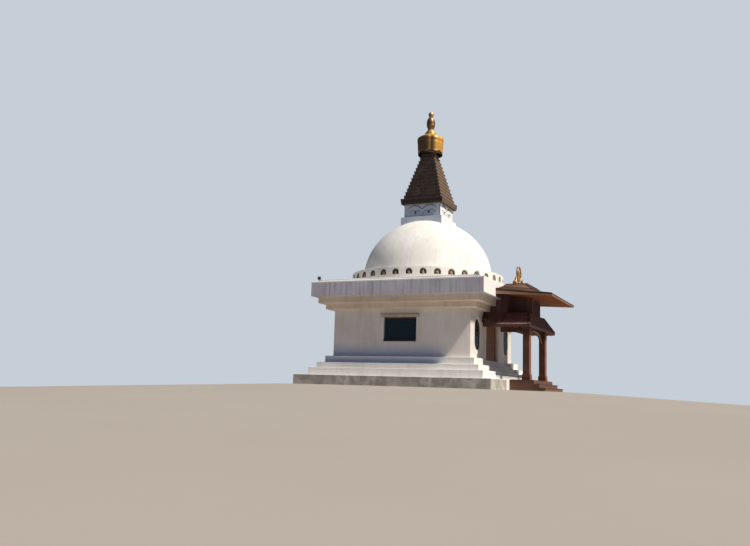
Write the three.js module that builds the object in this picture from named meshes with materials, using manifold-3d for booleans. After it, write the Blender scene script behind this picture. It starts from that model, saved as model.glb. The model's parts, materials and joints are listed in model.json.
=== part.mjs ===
// White square stupa with a timber entrance porch. Millimetres, +Z up.
// The origin is on the dome's axis at ground level, and the entrance faces -Y.
import * as THREE from "three";
import { mergeVertices } from "three/addons/utils/BufferGeometryUtils.js";
import Module from "manifold-3d";

const wasm = await Module();
wasm.setup();

// Clearance between a curved face and its neighbour.
const FIT = 0.3;

// Masonry base: half width and top height of each course, lowest first.
const TIERS = [
  ["base_course", 5590, 540],
  ["tier_two", 5010, 960],
  ["tier_three", 4670, 1250],
  ["tier_four", 4330, 1620],
];
const STAIR_GAP_HALF = 2750;

// Room walls.
const WALL_HALF = 4000;
const WALL_THICK = 300;
const FLOOR_Z = 1620;
const CEILING_Z = 4210;

// Large window on each side and on the back, with its hood.
const WINDOW_HALF = 960;
const WINDOW_SILL_Z = 2450;
const WINDOW_HEAD_Z = 3760;
const HOOD_HALF = 1105;
const HOOD_TOP_Z = 3930;
const HOOD_OUT = 130;
const GLASS_INSET = 140;
const GLASS_THICK = 20;

// Narrow round-ended windows beside the entrance.
const SLIT_CENTRE_X = 2780;
const SLIT_RADIUS = 490;
const SLIT_LOW_Z = 2060;
const SLIT_HIGH_Z = 3730;
const SLIT_GLASS_INSET = 70;

// Doorway, frame and the two leaves.
const DOORWAY_HALF = 1170;
const DOORWAY_HEAD_Z = 3820;
const JAMB = 90;
const FRAME_FRONT_Y = -3850;
const FRAME_BACK_Y = -3775;
const LEAF_THICK = 60;
const LEAF_MEET_GAP = 6;
const LEAF_SIDE_GAP = 6;
const LEAF_BOTTOM_Z = 1630;
const LEAF_TOP_Z = 3722;
const HINGE_RADIUS = 12;
const HINGE_FROM_JAMB = 3;
const HINGE_LEVELS = [1950, 3300];
const KNUCKLE = 70;
const STRAP = 60;

// Cornice: half width and the two heights of each course.
const COPING_TOP_Z = 5730;
const CORNICES = [
  ["cornice_low", 4390, 4210, 4520],
  ["cornice_mid", 4710, 4520, 4880],
  ["parapet_band", 5020, 4880, 5630],
  ["parapet_coping", 5020, 5630, COPING_TOP_Z],
  ["roof_terrace", 4700, COPING_TOP_Z, 5860],
];
const PARAPET_HALF = 5020;

// Drum with its ring of lamp niches, and the dome.
const DRUM_RADIUS = 4450;
const DRUM_LOW_Z = 5860;
const DRUM_TOP_Z = 6500;
const NICHE_COUNT = 36;
const NICHE_WIDTH = 400;
const NICHE_TURN = Math.PI / 90;
const NICHE_LOW_Z = 6050;
const NICHE_SPRING_Z = 6195;
const NICHE_DEPTH = 190;
const DOME_A = 3780;
const DOME_B = 3560;
const DOME_CENTRE_Z = 6330;

// Spotlights on the coping, one near each corner.
const LAMP_X = 4860;
const LAMP_Y = 4620;
const LAMP_FOOT_HALF = 45;
const LAMP_FOOT_THICK = 15;
const LAMP_STEM_HALF = 12;
const LAMP_HEAD_Z = 5910;
const LAMP_HEAD_HALF_WIDE = 90;
const LAMP_HEAD_HALF_TALL = 85;
const LAMP_HEAD_HALF_DEEP = 60;
const LAMP_AIM = Math.PI / 5;

// Harmika, spire and finial.
const PLINTH_HALF = 1280;
const PLINTH_LOW_Z = 9420;
const PLINTH_TOP_Z = 9960;
const HARMIKA_HALF = 1120;
const HARMIKA_TOP_Z = 10750;
const SLAB_HALF = 1320;
const SLAB_TOP_Z = 11080;
const SPIRE_STEPS = 13;
const SPIRE_LOW_HALF = 1160;
const SPIRE_TOP_HALF = 400;
const SPIRE_TOP_Z = 14000;
const CROWN_LOBES = 8;
const CROWN_SIDES = 48;
const CROWN_SCALLOP = 0.03;
const CROWN_TOP_Z = 15300;
const LOTUS_TOP_Z = 15600;
const VASE_TOP_Z = 16440;
const JEWEL_TOP_Z = 16760;
const FINIAL_SIDES = 24;

// Porch posts, beams and arch board.
const POST_CENTRE_X = 1830;
const POST_CENTRE_Y = -6430;
const POST_SIZE = 380;
const LANDING_Z = 580;
const LANDING_HALF = 2200;
const LANDING_FRONT_Y = -6900;
const LANDING_STEP_GO = 300;
const LANDING_RISERS = 3;
const FLIGHT_FRONT_Y = -5000;
const RISERS = 5;
const STEP_GO = 250;
const BEAM_LOW_Z = 3400;
const BEAM_TOP_Z = 3640;
const BEAM_INNER_X = 1660;
const BEAM_OUTER_X = 1900;
const CROSS_BEAM_FRONT_Y = -6440;
const CROSS_BEAM_BACK_Y = -6240;
const ARCH_FOOT_Z = 2700;
const ARCH_CROWN_Z = 3250;
const ARCH_THICK = 120;

// Porch upper storey and its two roofs.
const UPPER_HALF = 1750;
const UPPER_FRONT_Y = -6470;
const UPPER_BOARD = 140;
const NOSE_HALF = 900;
const NOSE_BACK_Y = -5300;
const SOFFIT_Z = 4900;
const SOFFIT_BACK_Z = 5170;
const SKIRT_TOP_Z = 4150;
const SKIRT_EAVE_Z = 3400;
const SKIRT_THICK = 110;
const SKIRT_EAVE_X = 3000;
const SKIRT_EAVE_Y = -6850;
const SKIRT_REAR_Y = -5290;
const SKIRT_END_X = 2030;
const SKIRT_END_Z = 3750;
const ROOF_EAVE_X = 2950;
const ROOF_EAVE_Y = -8000;
const RIDGE_HALF = 1000;
const RIDGE_FRONT_Y = -6200;
const RIDGE_Z = 5800;

// Wheel and deer on the porch ridge.
const EMBLEM_Y = -5500;
const WHEEL_CENTRE_Z = 6500;
const WHEEL_RADIUS = 450;
const WHEEL_RIM = 75;
const WHEEL_HUB = 110;
const WHEEL_SPOKES = 8;
const HALF_SPOKE = 22;
const WHEEL_THICK = 90;

function finish(color, roughness, metalness = 0) {
  return new THREE.MeshStandardMaterial({ color, roughness, metalness });
}

const materials = {
  stucco: finish("#f1efe9", 0.85),
  cement: finish("#b3ada2", 0.9),
  timber: finish("#4a2a20", 0.7),
  shingle: finish("#7b5f47", 0.85),
  spire: finish("#4b3a2e", 0.8),
  glass: finish("#223c40", 0.1),
  gold: finish("#c99640", 0.35, 1),
  bronze: finish("#8f6a3e", 0.4, 1),
  iron: finish("#3c3f42", 0.5, 1),
};

const group = new THREE.Group();

function add(name, geometry, material) {
  const mesh = new THREE.Mesh(geometry, materials[material].clone());
  mesh.name = name;
  group.add(mesh);
}

// A closed geometry as a solid for cutting and joining, and back again.
function solidOf(geometry) {
  const bare = geometry.clone();
  bare.deleteAttribute("normal");
  bare.deleteAttribute("uv");
  const merged = mergeVertices(bare, 1e-3);
  const vertProperties = new Float32Array(merged.attributes.position.array);
  const triVerts = new Uint32Array(merged.index.array);
  return new wasm.Manifold(new wasm.Mesh({ numProp: 3, vertProperties, triVerts }));
}

function geometryOf(solid) {
  const { vertProperties, triVerts } = solid.getMesh();
  const geometry = new THREE.BufferGeometry();
  geometry.setAttribute("position", new THREE.BufferAttribute(new Float32Array(vertProperties), 3));
  geometry.setIndex(Array.from(triVerts));
  geometry.computeVertexNormals();
  return geometry;
}

function union(...geometries) {
  return geometryOf(geometries.map(solidOf).reduce((whole, piece) => whole.add(piece)));
}

function cut(body, ...cutters) {
  return geometryOf(cutters.map(solidOf).reduce((rest, cutter) => rest.subtract(cutter), solidOf(body)));
}

// Box between two corners.
function block(low, high) {
  const size = high.map((value, i) => value - low[i]);
  const centre = high.map((value, i) => (value + low[i]) / 2);
  return new THREE.BoxGeometry(...size).translate(...centre);
}

function square(half, lowZ, topZ) {
  return block([-half, -half, lowZ], [half, half, topZ]);
}

// Points along an arc of a circle, both ends included.
function arcPoints(centre, radius, from, to, steps) {
  const points = [];
  for (let i = 0; i <= steps; i += 1) {
    const angle = from + ((to - from) * i) / steps;
    points.push([centre[0] + radius * Math.cos(angle), centre[1] + radius * Math.sin(angle)]);
  }
  return points;
}

// Outline extruded along one axis between two places on it.
function prism(outline, axis, from, to, holes = []) {
  const vectors = (points) => points.map(([a, b]) => new THREE.Vector2(a, b));
  const shape = new THREE.Shape(vectors(outline));
  shape.holes = holes.map((hole) => new THREE.Path(vectors(hole)));
  const geometry = new THREE.ExtrudeGeometry(shape, { depth: to - from, bevelEnabled: false });
  const place = new THREE.Matrix4();
  if (axis === "z") {
    place.makeTranslation(0, 0, from);
  } else if (axis === "x") {
    place.set(0, 0, 1, from, 1, 0, 0, 0, 0, 1, 0, 0, 0, 0, 0, 1);
  } else {
    place.set(1, 0, 0, 0, 0, 0, -1, to, 0, 1, 0, 0, 0, 0, 0, 1);
  }
  return geometry.applyMatrix4(place);
}

// Turned shape about the Z axis from points of radius and height.
function turned(profile, sides) {
  const points = profile.map(([radius, height]) => new THREE.Vector2(radius, height));
  return new THREE.LatheGeometry(points, sides).rotateX(Math.PI / 2);
}

// Skin over closed rings of equal point count, with a cap on the first and last ring.
function loft(rings) {
  const count = rings[0].length;
  const positions = rings.flat(2);
  const index = [];
  for (let r = 0; r < rings.length - 1; r += 1) {
    for (let i = 0; i < count; i += 1) {
      const a = r * count + i;
      const b = r * count + (i + 1) % count;
      index.push(a, b, b + count, a, b + count, a + count);
    }
  }
  const last = (rings.length - 1) * count;
  for (let i = 1; i < count - 1; i += 1) {
    index.push(0, i + 1, i);
    index.push(last, last + i, last + i + 1);
  }
  const geometry = new THREE.BufferGeometry();
  geometry.setAttribute("position", new THREE.BufferAttribute(new Float32Array(positions), 3));
  geometry.setIndex(index);
  geometry.computeVertexNormals();
  return geometry;
}

const squareRing = (half, z) => [[-half, -half, z], [half, -half, z], [half, half, z], [-half, half, z]];

// Stepped base courses, open in front for the stair.
function addTiers() {
  let low = 0;
  for (const [name, half, top] of TIERS) {
    const outline = [
      [-half, -half], [-STAIR_GAP_HALF, -half], [-STAIR_GAP_HALF, -WALL_HALF], [STAIR_GAP_HALF, -WALL_HALF],
      [STAIR_GAP_HALF, -half], [half, -half], [half, half], [-half, half],
    ];
    add(name, prism(outline, "z", low, top), name === "base_course" ? "cement" : "stucco");
    low = top;
  }
}

// Masonry platform and flight in the gap, the timber landing and its two steps.
function addEntrySteps() {
  const front = -TIERS[0][1];
  const rise = (FLOOR_Z - LANDING_Z) / RISERS;
  const outline = [[-WALL_HALF, 0], [front, 0], [front, LANDING_Z], [FLIGHT_FRONT_Y, LANDING_Z]];
  for (let i = 1; i < RISERS; i += 1) {
    outline.push([FLIGHT_FRONT_Y + (i - 1) * STEP_GO, LANDING_Z + i * rise]);
    outline.push([FLIGHT_FRONT_Y + i * STEP_GO, LANDING_Z + i * rise]);
  }
  add("entry_steps", prism(outline, "x", -STAIR_GAP_HALF, STAIR_GAP_HALF), "stucco");
  const landingLow = [-LANDING_HALF, LANDING_FRONT_Y, 0];
  add("porch_landing", block(landingLow, [LANDING_HALF, front, LANDING_Z]), "timber");
  const stepRise = LANDING_Z / LANDING_RISERS;
  const steps = [
    [LANDING_FRONT_Y, 0], [LANDING_FRONT_Y, 2 * stepRise], [LANDING_FRONT_Y - LANDING_STEP_GO, 2 * stepRise],
    [LANDING_FRONT_Y - LANDING_STEP_GO, stepRise], [LANDING_FRONT_Y - 2 * LANDING_STEP_GO, stepRise],
    [LANDING_FRONT_Y - 2 * LANDING_STEP_GO, 0],
  ];
  add("landing_steps", prism(steps, "x", -LANDING_HALF, LANDING_HALF), "timber");
}

const ordered = (a, b) => (a < b ? [a, b] : [b, a]);

function windowOpening(lowX, highX) {
  return block([lowX, -WINDOW_HALF, WINDOW_SILL_Z], [highX, WINDOW_HALF, WINDOW_HEAD_Z]);
}

// Round-ended upright outline about one centre line, in X and Z.
function slitOutline(centreX, radius) {
  const low = [centreX, SLIT_LOW_Z + SLIT_RADIUS];
  const high = [centreX, SLIT_HIGH_Z - SLIT_RADIUS];
  return [...arcPoints(low, radius, -Math.PI, 0, 12), ...arcPoints(high, radius, 0, Math.PI, 12)];
}

// Room walls with their windows cut through, in six pieces.
function addWalls() {
  const inner = WALL_HALF - WALL_THICK;
  for (const [side, sign] of [["left", -1], ["right", 1]]) {
    const xs = ordered(sign * WALL_HALF, sign * inner);
    const slab = block([xs[0], -inner, FLOOR_Z], [xs[1], inner, CEILING_Z]);
    add(`${side}_wall`, cut(slab, windowOpening(xs[0] - 50, xs[1] + 50)), "stucco");
    const paneOut = WALL_HALF - GLASS_INSET;
    const glass = ordered(sign * paneOut, sign * (paneOut - GLASS_THICK));
    add(`${side}_glass`, windowOpening(glass[0], glass[1]), "glass");
    const hood = ordered(sign * WALL_HALF, sign * (WALL_HALF + HOOD_OUT));
    const hoodBox = block([hood[0], -HOOD_HALF, WINDOW_HEAD_Z], [hood[1], HOOD_HALF, HOOD_TOP_Z]);
    add(`${side}_hood`, hoodBox, "stucco");

    const ends = ordered(sign * WALL_HALF, sign * DOORWAY_HALF);
    const front = block([ends[0], -WALL_HALF, FLOOR_Z], [ends[1], -inner, CEILING_Z]);
    const slit = prism(slitOutline(sign * SLIT_CENTRE_X, SLIT_RADIUS), "y", -WALL_HALF - 50, -inner + 50);
    add(`front_wall_${side}`, cut(front, slit), "stucco");
    const pane = slitOutline(sign * SLIT_CENTRE_X, SLIT_RADIUS - FIT);
    const paneY = -WALL_HALF + SLIT_GLASS_INSET;
    add(`narrow_glass_${side}`, prism(pane, "y", paneY, paneY + GLASS_THICK), "glass");
  }
  const backSlab = block([-WALL_HALF, inner, FLOOR_Z], [WALL_HALF, WALL_HALF, CEILING_Z]);
  const holeLow = [-WINDOW_HALF, inner - 50, WINDOW_SILL_Z];
  const backHole = block(holeLow, [WINDOW_HALF, WALL_HALF + 50, WINDOW_HEAD_Z]);
  add("back_wall", cut(backSlab, backHole), "stucco");
  const paneBack = WALL_HALF - GLASS_INSET;
  const paneLow = [-WINDOW_HALF, paneBack - GLASS_THICK, WINDOW_SILL_Z];
  add("back_glass", block(paneLow, [WINDOW_HALF, paneBack, WINDOW_HEAD_Z]), "glass");
  const hoodLow = [-HOOD_HALF, WALL_HALF, WINDOW_HEAD_Z];
  add("back_hood", block(hoodLow, [HOOD_HALF, WALL_HALF + HOOD_OUT, HOOD_TOP_Z]), "stucco");
  const headLow = [-DOORWAY_HALF, -WALL_HALF, DOORWAY_HEAD_Z];
  add("front_wall_head", block(headLow, [DOORWAY_HALF, -inner, CEILING_Z]), "stucco");
}

// Hinge knuckle with its strap, towards the leaf or towards the jamb.
function knuckle(sign, towards, lowZ) {
  const axisX = sign * (DOORWAY_HALF - JAMB - HINGE_FROM_JAMB);
  const axisY = FRAME_BACK_Y + HINGE_RADIUS;
  const barrel = new THREE.CylinderGeometry(HINGE_RADIUS, HINGE_RADIUS, KNUCKLE, 16).rotateX(Math.PI / 2);
  barrel.translate(axisX, axisY, lowZ + KNUCKLE / 2);
  const xs = ordered(axisX, axisX + sign * towards * STRAP);
  const strap = block([xs[0], FRAME_BACK_Y - 1, lowZ], [xs[1], axisY, lowZ + KNUCKLE]);
  return union(barrel, strap);
}

// Timber door frame and the two leaves, hinged on its inner face.
function addDoors() {
  const clear = DOORWAY_HALF - JAMB;
  const head = DOORWAY_HEAD_Z - JAMB;
  const outline = [
    [-DOORWAY_HALF, FLOOR_Z], [-clear, FLOOR_Z], [-clear, head], [clear, head],
    [clear, FLOOR_Z], [DOORWAY_HALF, FLOOR_Z],
    [DOORWAY_HALF, DOORWAY_HEAD_Z], [-DOORWAY_HALF, DOORWAY_HEAD_Z],
  ];
  const frameHinges = [];
  for (const [side, sign] of [["left", -1], ["right", 1]]) {
    const xs = ordered(sign * LEAF_MEET_GAP, sign * (clear - LEAF_SIDE_GAP));
    const leafLow = [xs[0], FRAME_BACK_Y - LEAF_THICK, LEAF_BOTTOM_Z];
    const leaf = block(leafLow, [xs[1], FRAME_BACK_Y, LEAF_TOP_Z]);
    const leafHinges = HINGE_LEVELS.map((z) => knuckle(sign, -1, z + KNUCKLE + FIT));
    frameHinges.push(...HINGE_LEVELS.map((z) => knuckle(sign, 1, z)));
    add(`door_${side}`, union(leaf, ...leafHinges), "timber");
  }
  add("door_frame", union(prism(outline, "y", FRAME_FRONT_Y, FRAME_BACK_Y), ...frameHinges), "timber");
}

function addCornices() {
  for (const [name, half, low, top] of CORNICES) {
    add(name, square(half, low, top), "stucco");
  }
}

// Spotlight on a short stem, its head turned up towards the dome.
function lamp(signX, signY) {
  const x = signX * LAMP_X;
  const y = signY * LAMP_Y;
  const foot = block(
    [x - LAMP_FOOT_HALF, y - LAMP_FOOT_HALF, COPING_TOP_Z],
    [x + LAMP_FOOT_HALF, y + LAMP_FOOT_HALF, COPING_TOP_Z + LAMP_FOOT_THICK],
  );
  const stem = block(
    [x - LAMP_STEM_HALF, y - LAMP_STEM_HALF, COPING_TOP_Z],
    [x + LAMP_STEM_HALF, y + LAMP_STEM_HALF, LAMP_HEAD_Z],
  );
  const outline = [[-1, -1], [1, -1], [1, 1], [-1, 1]].map(([along, across]) => {
    const deep = along * LAMP_HEAD_HALF_DEEP;
    const tall = across * LAMP_HEAD_HALF_TALL;
    const inward = deep * Math.cos(LAMP_AIM) - tall * Math.sin(LAMP_AIM);
    return [x - signX * inward, LAMP_HEAD_Z + deep * Math.sin(LAMP_AIM) + tall * Math.cos(LAMP_AIM)];
  });
  return union(foot, stem, prism(outline, "y", y - LAMP_HEAD_HALF_WIDE, y + LAMP_HEAD_HALF_WIDE));
}

function addLamps() {
  for (const [side, signX] of [["left", -1], ["right", 1]]) {
    for (const [end, signY] of [["front", -1], ["back", 1]]) {
      add(`lamp_${side}_${end}`, lamp(signX, signY), "iron");
    }
  }
}

// Drum with arched niches all round, and the dome on it.
function addDome() {
  const profile = [[0, DRUM_LOW_Z], [DRUM_RADIUS, DRUM_LOW_Z], [DRUM_RADIUS, DRUM_TOP_Z], [0, DRUM_TOP_Z]];
  const drum = turned(profile, 2 * NICHE_COUNT);
  const half = NICHE_WIDTH / 2;
  const head = arcPoints([0, NICHE_SPRING_Z], half, 0, Math.PI, 8);
  const arch = [[-half, NICHE_LOW_Z], [half, NICHE_LOW_Z], ...head];
  const niches = [];
  for (let i = 0; i < NICHE_COUNT; i += 1) {
    const niche = prism(arch, "y", -DRUM_RADIUS - 100, -DRUM_RADIUS + NICHE_DEPTH);
    niches.push(niche.rotateZ((i / NICHE_COUNT) * 2 * Math.PI - NICHE_TURN));
  }
  add("drum", cut(drum, ...niches), "stucco");
  add("dome", domeShape(0, DRUM_TOP_Z), "stucco");
}

// Upper part of an ellipsoid, grown by a small clearance.
function domeShape(grow, lowZ) {
  const profile = [[0, lowZ]];
  const start = Math.asin((lowZ - DOME_CENTRE_Z) / (DOME_B + grow));
  const steps = 16;
  for (let i = 0; i < steps; i += 1) {
    const angle = start + (Math.PI / 2 - start) * (i / steps);
    profile.push([(DOME_A + grow) * Math.cos(angle), DOME_CENTRE_Z + (DOME_B + grow) * Math.sin(angle)]);
  }
  profile.push([0, DOME_CENTRE_Z + DOME_B + grow]);
  return turned(profile, 64);
}

// Harmika on its plinth, and the slab that carries the spire.
function addHarmika() {
  const plinth = square(PLINTH_HALF, PLINTH_LOW_Z, PLINTH_TOP_Z);
  add("harmika_plinth", cut(plinth, domeShape(FIT, DRUM_TOP_Z)), "stucco");
  add("harmika", square(HARMIKA_HALF, PLINTH_TOP_Z, HARMIKA_TOP_Z), "stucco");
  add("spire_slab", square(SLAB_HALF, HARMIKA_TOP_Z, SLAB_TOP_Z), "spire");
}

// Thirteen square steps, each smaller than the one below.
function addSpire() {
  const rise = (SPIRE_TOP_Z - SLAB_TOP_Z) / SPIRE_STEPS;
  const rings = [];
  for (let i = 0; i < SPIRE_STEPS; i += 1) {
    const half = SPIRE_LOW_HALF + ((SPIRE_TOP_HALF - SPIRE_LOW_HALF) * i) / (SPIRE_STEPS - 1);
    rings.push(squareRing(half, SLAB_TOP_Z + i * rise));
    rings.push(squareRing(half, SLAB_TOP_Z + (i + 1) * rise));
  }
  add("spire", loft(rings), "spire");
}

// Ring of a lobed outline about the axis.
function lobedRing(radius, z) {
  const ring = [];
  for (let i = 0; i < CROWN_SIDES; i += 1) {
    const angle = (i / CROWN_SIDES) * 2 * Math.PI;
    const swell = Math.abs(Math.cos((CROWN_LOBES * angle) / 2));
    const lobe = 1 - CROWN_SCALLOP + 2 * CROWN_SCALLOP * swell;
    ring.push([radius * lobe * Math.cos(angle), radius * lobe * Math.sin(angle), z]);
  }
  return ring;
}

// Lobed crown, lotus, vase and jewel on the axis.
function addFinial() {
  const crown = [
    [1, SPIRE_TOP_Z], [735, SPIRE_TOP_Z], [770, 14400], [786, 14900], [776, 15010], [735, 15080],
    [585, 15170], [350, 15290], [330, CROWN_TOP_Z], [1, CROWN_TOP_Z],
  ];
  add("crown", loft(crown.map(([radius, z]) => lobedRing(radius, z))), "gold");
  const lotus = [
    [0, CROWN_TOP_Z], [330, CROWN_TOP_Z], [350, 15330], [285, 15440], [215, 15530], [185, LOTUS_TOP_Z],
    [0, LOTUS_TOP_Z],
  ];
  add("lotus", turned(lotus, FINIAL_SIDES), "gold");
  const vase = [
    [0, LOTUS_TOP_Z], [170, LOTUS_TOP_Z], [230, 15700], [255, 15900], [258, 16050], [235, 16220],
    [190, 16320], [130, 16400], [100, VASE_TOP_Z], [0, VASE_TOP_Z],
  ];
  add("vase", turned(vase, FINIAL_SIDES), "bronze");
  const jewel = [
    [0, VASE_TOP_Z], [100, VASE_TOP_Z], [140, 16500], [155, 16590],
    [130, 16690], [65, 16745], [0, JEWEL_TOP_Z],
  ];
  add("jewel", turned(jewel, FINIAL_SIDES), "gold");
}

// Posts, beams and the arched board between the posts.
function addPorchFrame() {
  const halfPost = POST_SIZE / 2;
  for (const [side, sign] of [["left", -1], ["right", 1]]) {
    const x = sign * POST_CENTRE_X;
    const low = [x - halfPost, POST_CENTRE_Y - halfPost, LANDING_Z];
    add(`porch_post_${side}`, block(low, [x + halfPost, POST_CENTRE_Y + halfPost, BEAM_LOW_Z]), "timber");
  }
  const sideBeams = [[-BEAM_OUTER_X, -BEAM_INNER_X], [BEAM_INNER_X, BEAM_OUTER_X]].map(([low, high]) => (
    block([low, CROSS_BEAM_FRONT_Y, BEAM_LOW_Z], [high, -WALL_HALF, BEAM_TOP_Z])
  ));
  const crossLow = [-BEAM_OUTER_X, CROSS_BEAM_FRONT_Y, BEAM_LOW_Z];
  const crossBeam = block(crossLow, [BEAM_OUTER_X, CROSS_BEAM_BACK_Y, BEAM_TOP_Z]);
  add("porch_beams", union(crossBeam, ...sideBeams), "timber");

  const inner = POST_CENTRE_X - halfPost;
  const outline = [[-inner, BEAM_LOW_Z]];
  const steps = 16;
  for (let i = 0; i <= steps; i += 1) {
    const angle = Math.PI - (Math.PI * i) / steps;
    outline.push([inner * Math.cos(angle), ARCH_FOOT_Z + (ARCH_CROWN_Z - ARCH_FOOT_Z) * Math.sin(angle)]);
  }
  outline.push([inner, BEAM_LOW_Z]);
  const archY = CROSS_BEAM_FRONT_Y + 40;
  add("porch_arch", prism(outline, "y", archY, archY + ARCH_THICK), "timber");
}

// Height of the upper roof's underside, which rises towards the wall.
function soffitAt(y) {
  return SOFFIT_Z + ((SOFFIT_BACK_Z - SOFFIT_Z) * (y - ROOF_EAVE_Y)) / (-PARAPET_HALF - ROOF_EAVE_Y);
}

// Upright wall under the sloping underside, between two places along Y.
function underRoof(lowX, highX, frontY, backY, lowZ) {
  const outline = [[frontY, lowZ], [backY, lowZ], [backY, soffitAt(backY)], [frontY, soffitAt(frontY)]];
  return prism(outline, "x", lowX, highX);
}

// Boarded upper storey, stepped to fit the cornice courses and narrower in front.
function addUpperStorey() {
  const profile = [[UPPER_FRONT_Y, BEAM_TOP_Z], [-WALL_HALF, BEAM_TOP_Z]];
  let edge = -WALL_HALF;
  for (const [, half, low] of CORNICES.slice(0, 3)) {
    profile.push([edge, low]);
    profile.push([-half, low]);
    edge = -half;
  }
  profile.push([edge, soffitAt(edge)]);
  profile.push([NOSE_BACK_Y, soffitAt(NOSE_BACK_Y)]);
  profile.push([NOSE_BACK_Y, SKIRT_TOP_Z]);
  profile.push([UPPER_FRONT_Y, SKIRT_TOP_Z]);
  const innerFront = UPPER_FRONT_Y + UPPER_BOARD;
  const noseBack = NOSE_BACK_Y + UPPER_BOARD;
  const noseInner = NOSE_HALF - UPPER_BOARD;
  const deckLow = SKIRT_TOP_Z - SKIRT_THICK;
  const pieces = [
    block([-UPPER_HALF, UPPER_FRONT_Y, BEAM_TOP_Z], [UPPER_HALF, innerFront, SKIRT_TOP_Z]),
    underRoof(-NOSE_HALF, NOSE_HALF, UPPER_FRONT_Y, innerFront, deckLow),
  ];
  for (const sign of [-1, 1]) {
    const side = ordered(sign * UPPER_HALF, sign * (UPPER_HALF - UPPER_BOARD));
    const across = ordered(sign * UPPER_HALF, sign * noseInner);
    const nose = ordered(sign * NOSE_HALF, sign * noseInner);
    pieces.push(prism(profile, "x", ...side));
    pieces.push(underRoof(...across, NOSE_BACK_Y, noseBack, deckLow));
    pieces.push(underRoof(...nose, UPPER_FRONT_Y, noseBack, deckLow));
    pieces.push(block([across[0], UPPER_FRONT_Y, deckLow], [across[1], noseBack, SKIRT_TOP_Z]));
  }
  add("porch_upper_walls", union(...pieces), "timber");
}

// Lower skirt roof round three sides of the upper storey.
function addLowerRoof() {
  const half = [
    [[SKIRT_END_X, -WALL_HALF, SKIRT_END_Z], [UPPER_HALF, -WALL_HALF, SKIRT_TOP_Z]],
    [[SKIRT_EAVE_X, SKIRT_REAR_Y, SKIRT_EAVE_Z], [UPPER_HALF, SKIRT_REAR_Y, SKIRT_TOP_Z]],
    [[SKIRT_EAVE_X, SKIRT_EAVE_Y, SKIRT_EAVE_Z], [UPPER_HALF, UPPER_FRONT_Y, SKIRT_TOP_Z]],
  ];
  const mirrored = half.map((pair) => pair.map(([x, y, z]) => [-x, y, z])).reverse();
  const rings = [...half, ...mirrored].map(([eave, top]) => {
    const under = ([x, y, z]) => [x, y, z - SKIRT_THICK];
    return [eave, top, under(top), under(eave)];
  });
  add("lower_roof", loft(rings), "shingle");
}

// Upper hipped roof with a plane underside and a bell-cast front.
function addUpperRoof() {
  const back = -PARAPET_HALF;
  const ring = (x, frontY, frontZ, backZ) => [
    [-x, frontY, frontZ], [x, frontY, frontZ], [x, back, backZ], [-x, back, backZ],
  ];
  const rings = [
    ring(ROOF_EAVE_X, ROOF_EAVE_Y, SOFFIT_Z, SOFFIT_BACK_Z),
    ring(ROOF_EAVE_X, ROOF_EAVE_Y, 5000, 5340),
    ring(2300, -7250, 5160, 5450),
    ring(1600, -6650, 5440, 5620),
    ring(RIDGE_HALF, RIDGE_FRONT_Y, RIDGE_Z, RIDGE_Z),
  ];
  add("upper_roof", loft(rings), "shingle");
}

// Wheel with eight spokes on a pedestal, facing the entrance side.
function addWheel() {
  const centre = [0, WHEEL_CENTRE_Z];
  const inner = WHEEL_RADIUS - WHEEL_RIM;
  const sector = (2 * Math.PI) / WHEEL_SPOKES;
  const holes = [];
  for (let i = 0; i < WHEEL_SPOKES; i += 1) {
    const from = i * sector;
    const rimSlack = HALF_SPOKE / inner;
    const hubSlack = HALF_SPOKE / WHEEL_HUB;
    const outer = arcPoints(centre, inner, from + rimSlack, from + sector - rimSlack, 4);
    const hub = arcPoints(centre, WHEEL_HUB, from + sector - hubSlack, from + hubSlack, 2);
    holes.push([...outer, ...hub]);
  }
  const rim = arcPoints(centre, WHEEL_RADIUS, 0, 2 * Math.PI, 40).slice(0, -1);
  const wheel = prism(rim, "y", EMBLEM_Y - WHEEL_THICK / 2, EMBLEM_Y + WHEEL_THICK / 2, holes);
  const foot = [
    [-230, RIDGE_Z], [230, RIDGE_Z], [200, 5880], [110, 5960],
    [110, 6075], [-110, 6075], [-110, 5960], [-200, 5880],
  ];
  add("wheel", union(wheel, prism(foot, "y", EMBLEM_Y - 110, EMBLEM_Y + 110)), "gold");
}

// Deer lying down with its head raised towards the wheel, one each side.
function addDeer() {
  const outline = [
    [960, RIDGE_Z], [985, 5890], [940, 5985], [850, 6015], [740, 6010], [675, 6080], [650, 6165], [670, 6225],
    [615, 6205], [525, 6160], [530, 6125], [590, 6110], [600, 6020], [565, 5930], [540, 5860], [540, RIDGE_Z],
  ];
  for (const [side, sign] of [["left", -1], ["right", 1]]) {
    const points = outline.map(([x, z]) => [sign * x, z]);
    add(`deer_${side}`, prism(points, "y", EMBLEM_Y - 80, EMBLEM_Y + 80), "gold");
  }
}

addTiers();
addEntrySteps();
addWalls();
addDoors();
addCornices();
addLamps();
addDome();
addHarmika();
addSpire();
addFinial();
addPorchFrame();
addUpperStorey();
addLowerRoof();
addUpperRoof();
addWheel();
addDeer();

export default group;
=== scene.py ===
import json
import math
from functools import partial
from random import Random
from types import SimpleNamespace

import bpy
from mathutils import Matrix, Vector

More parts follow.
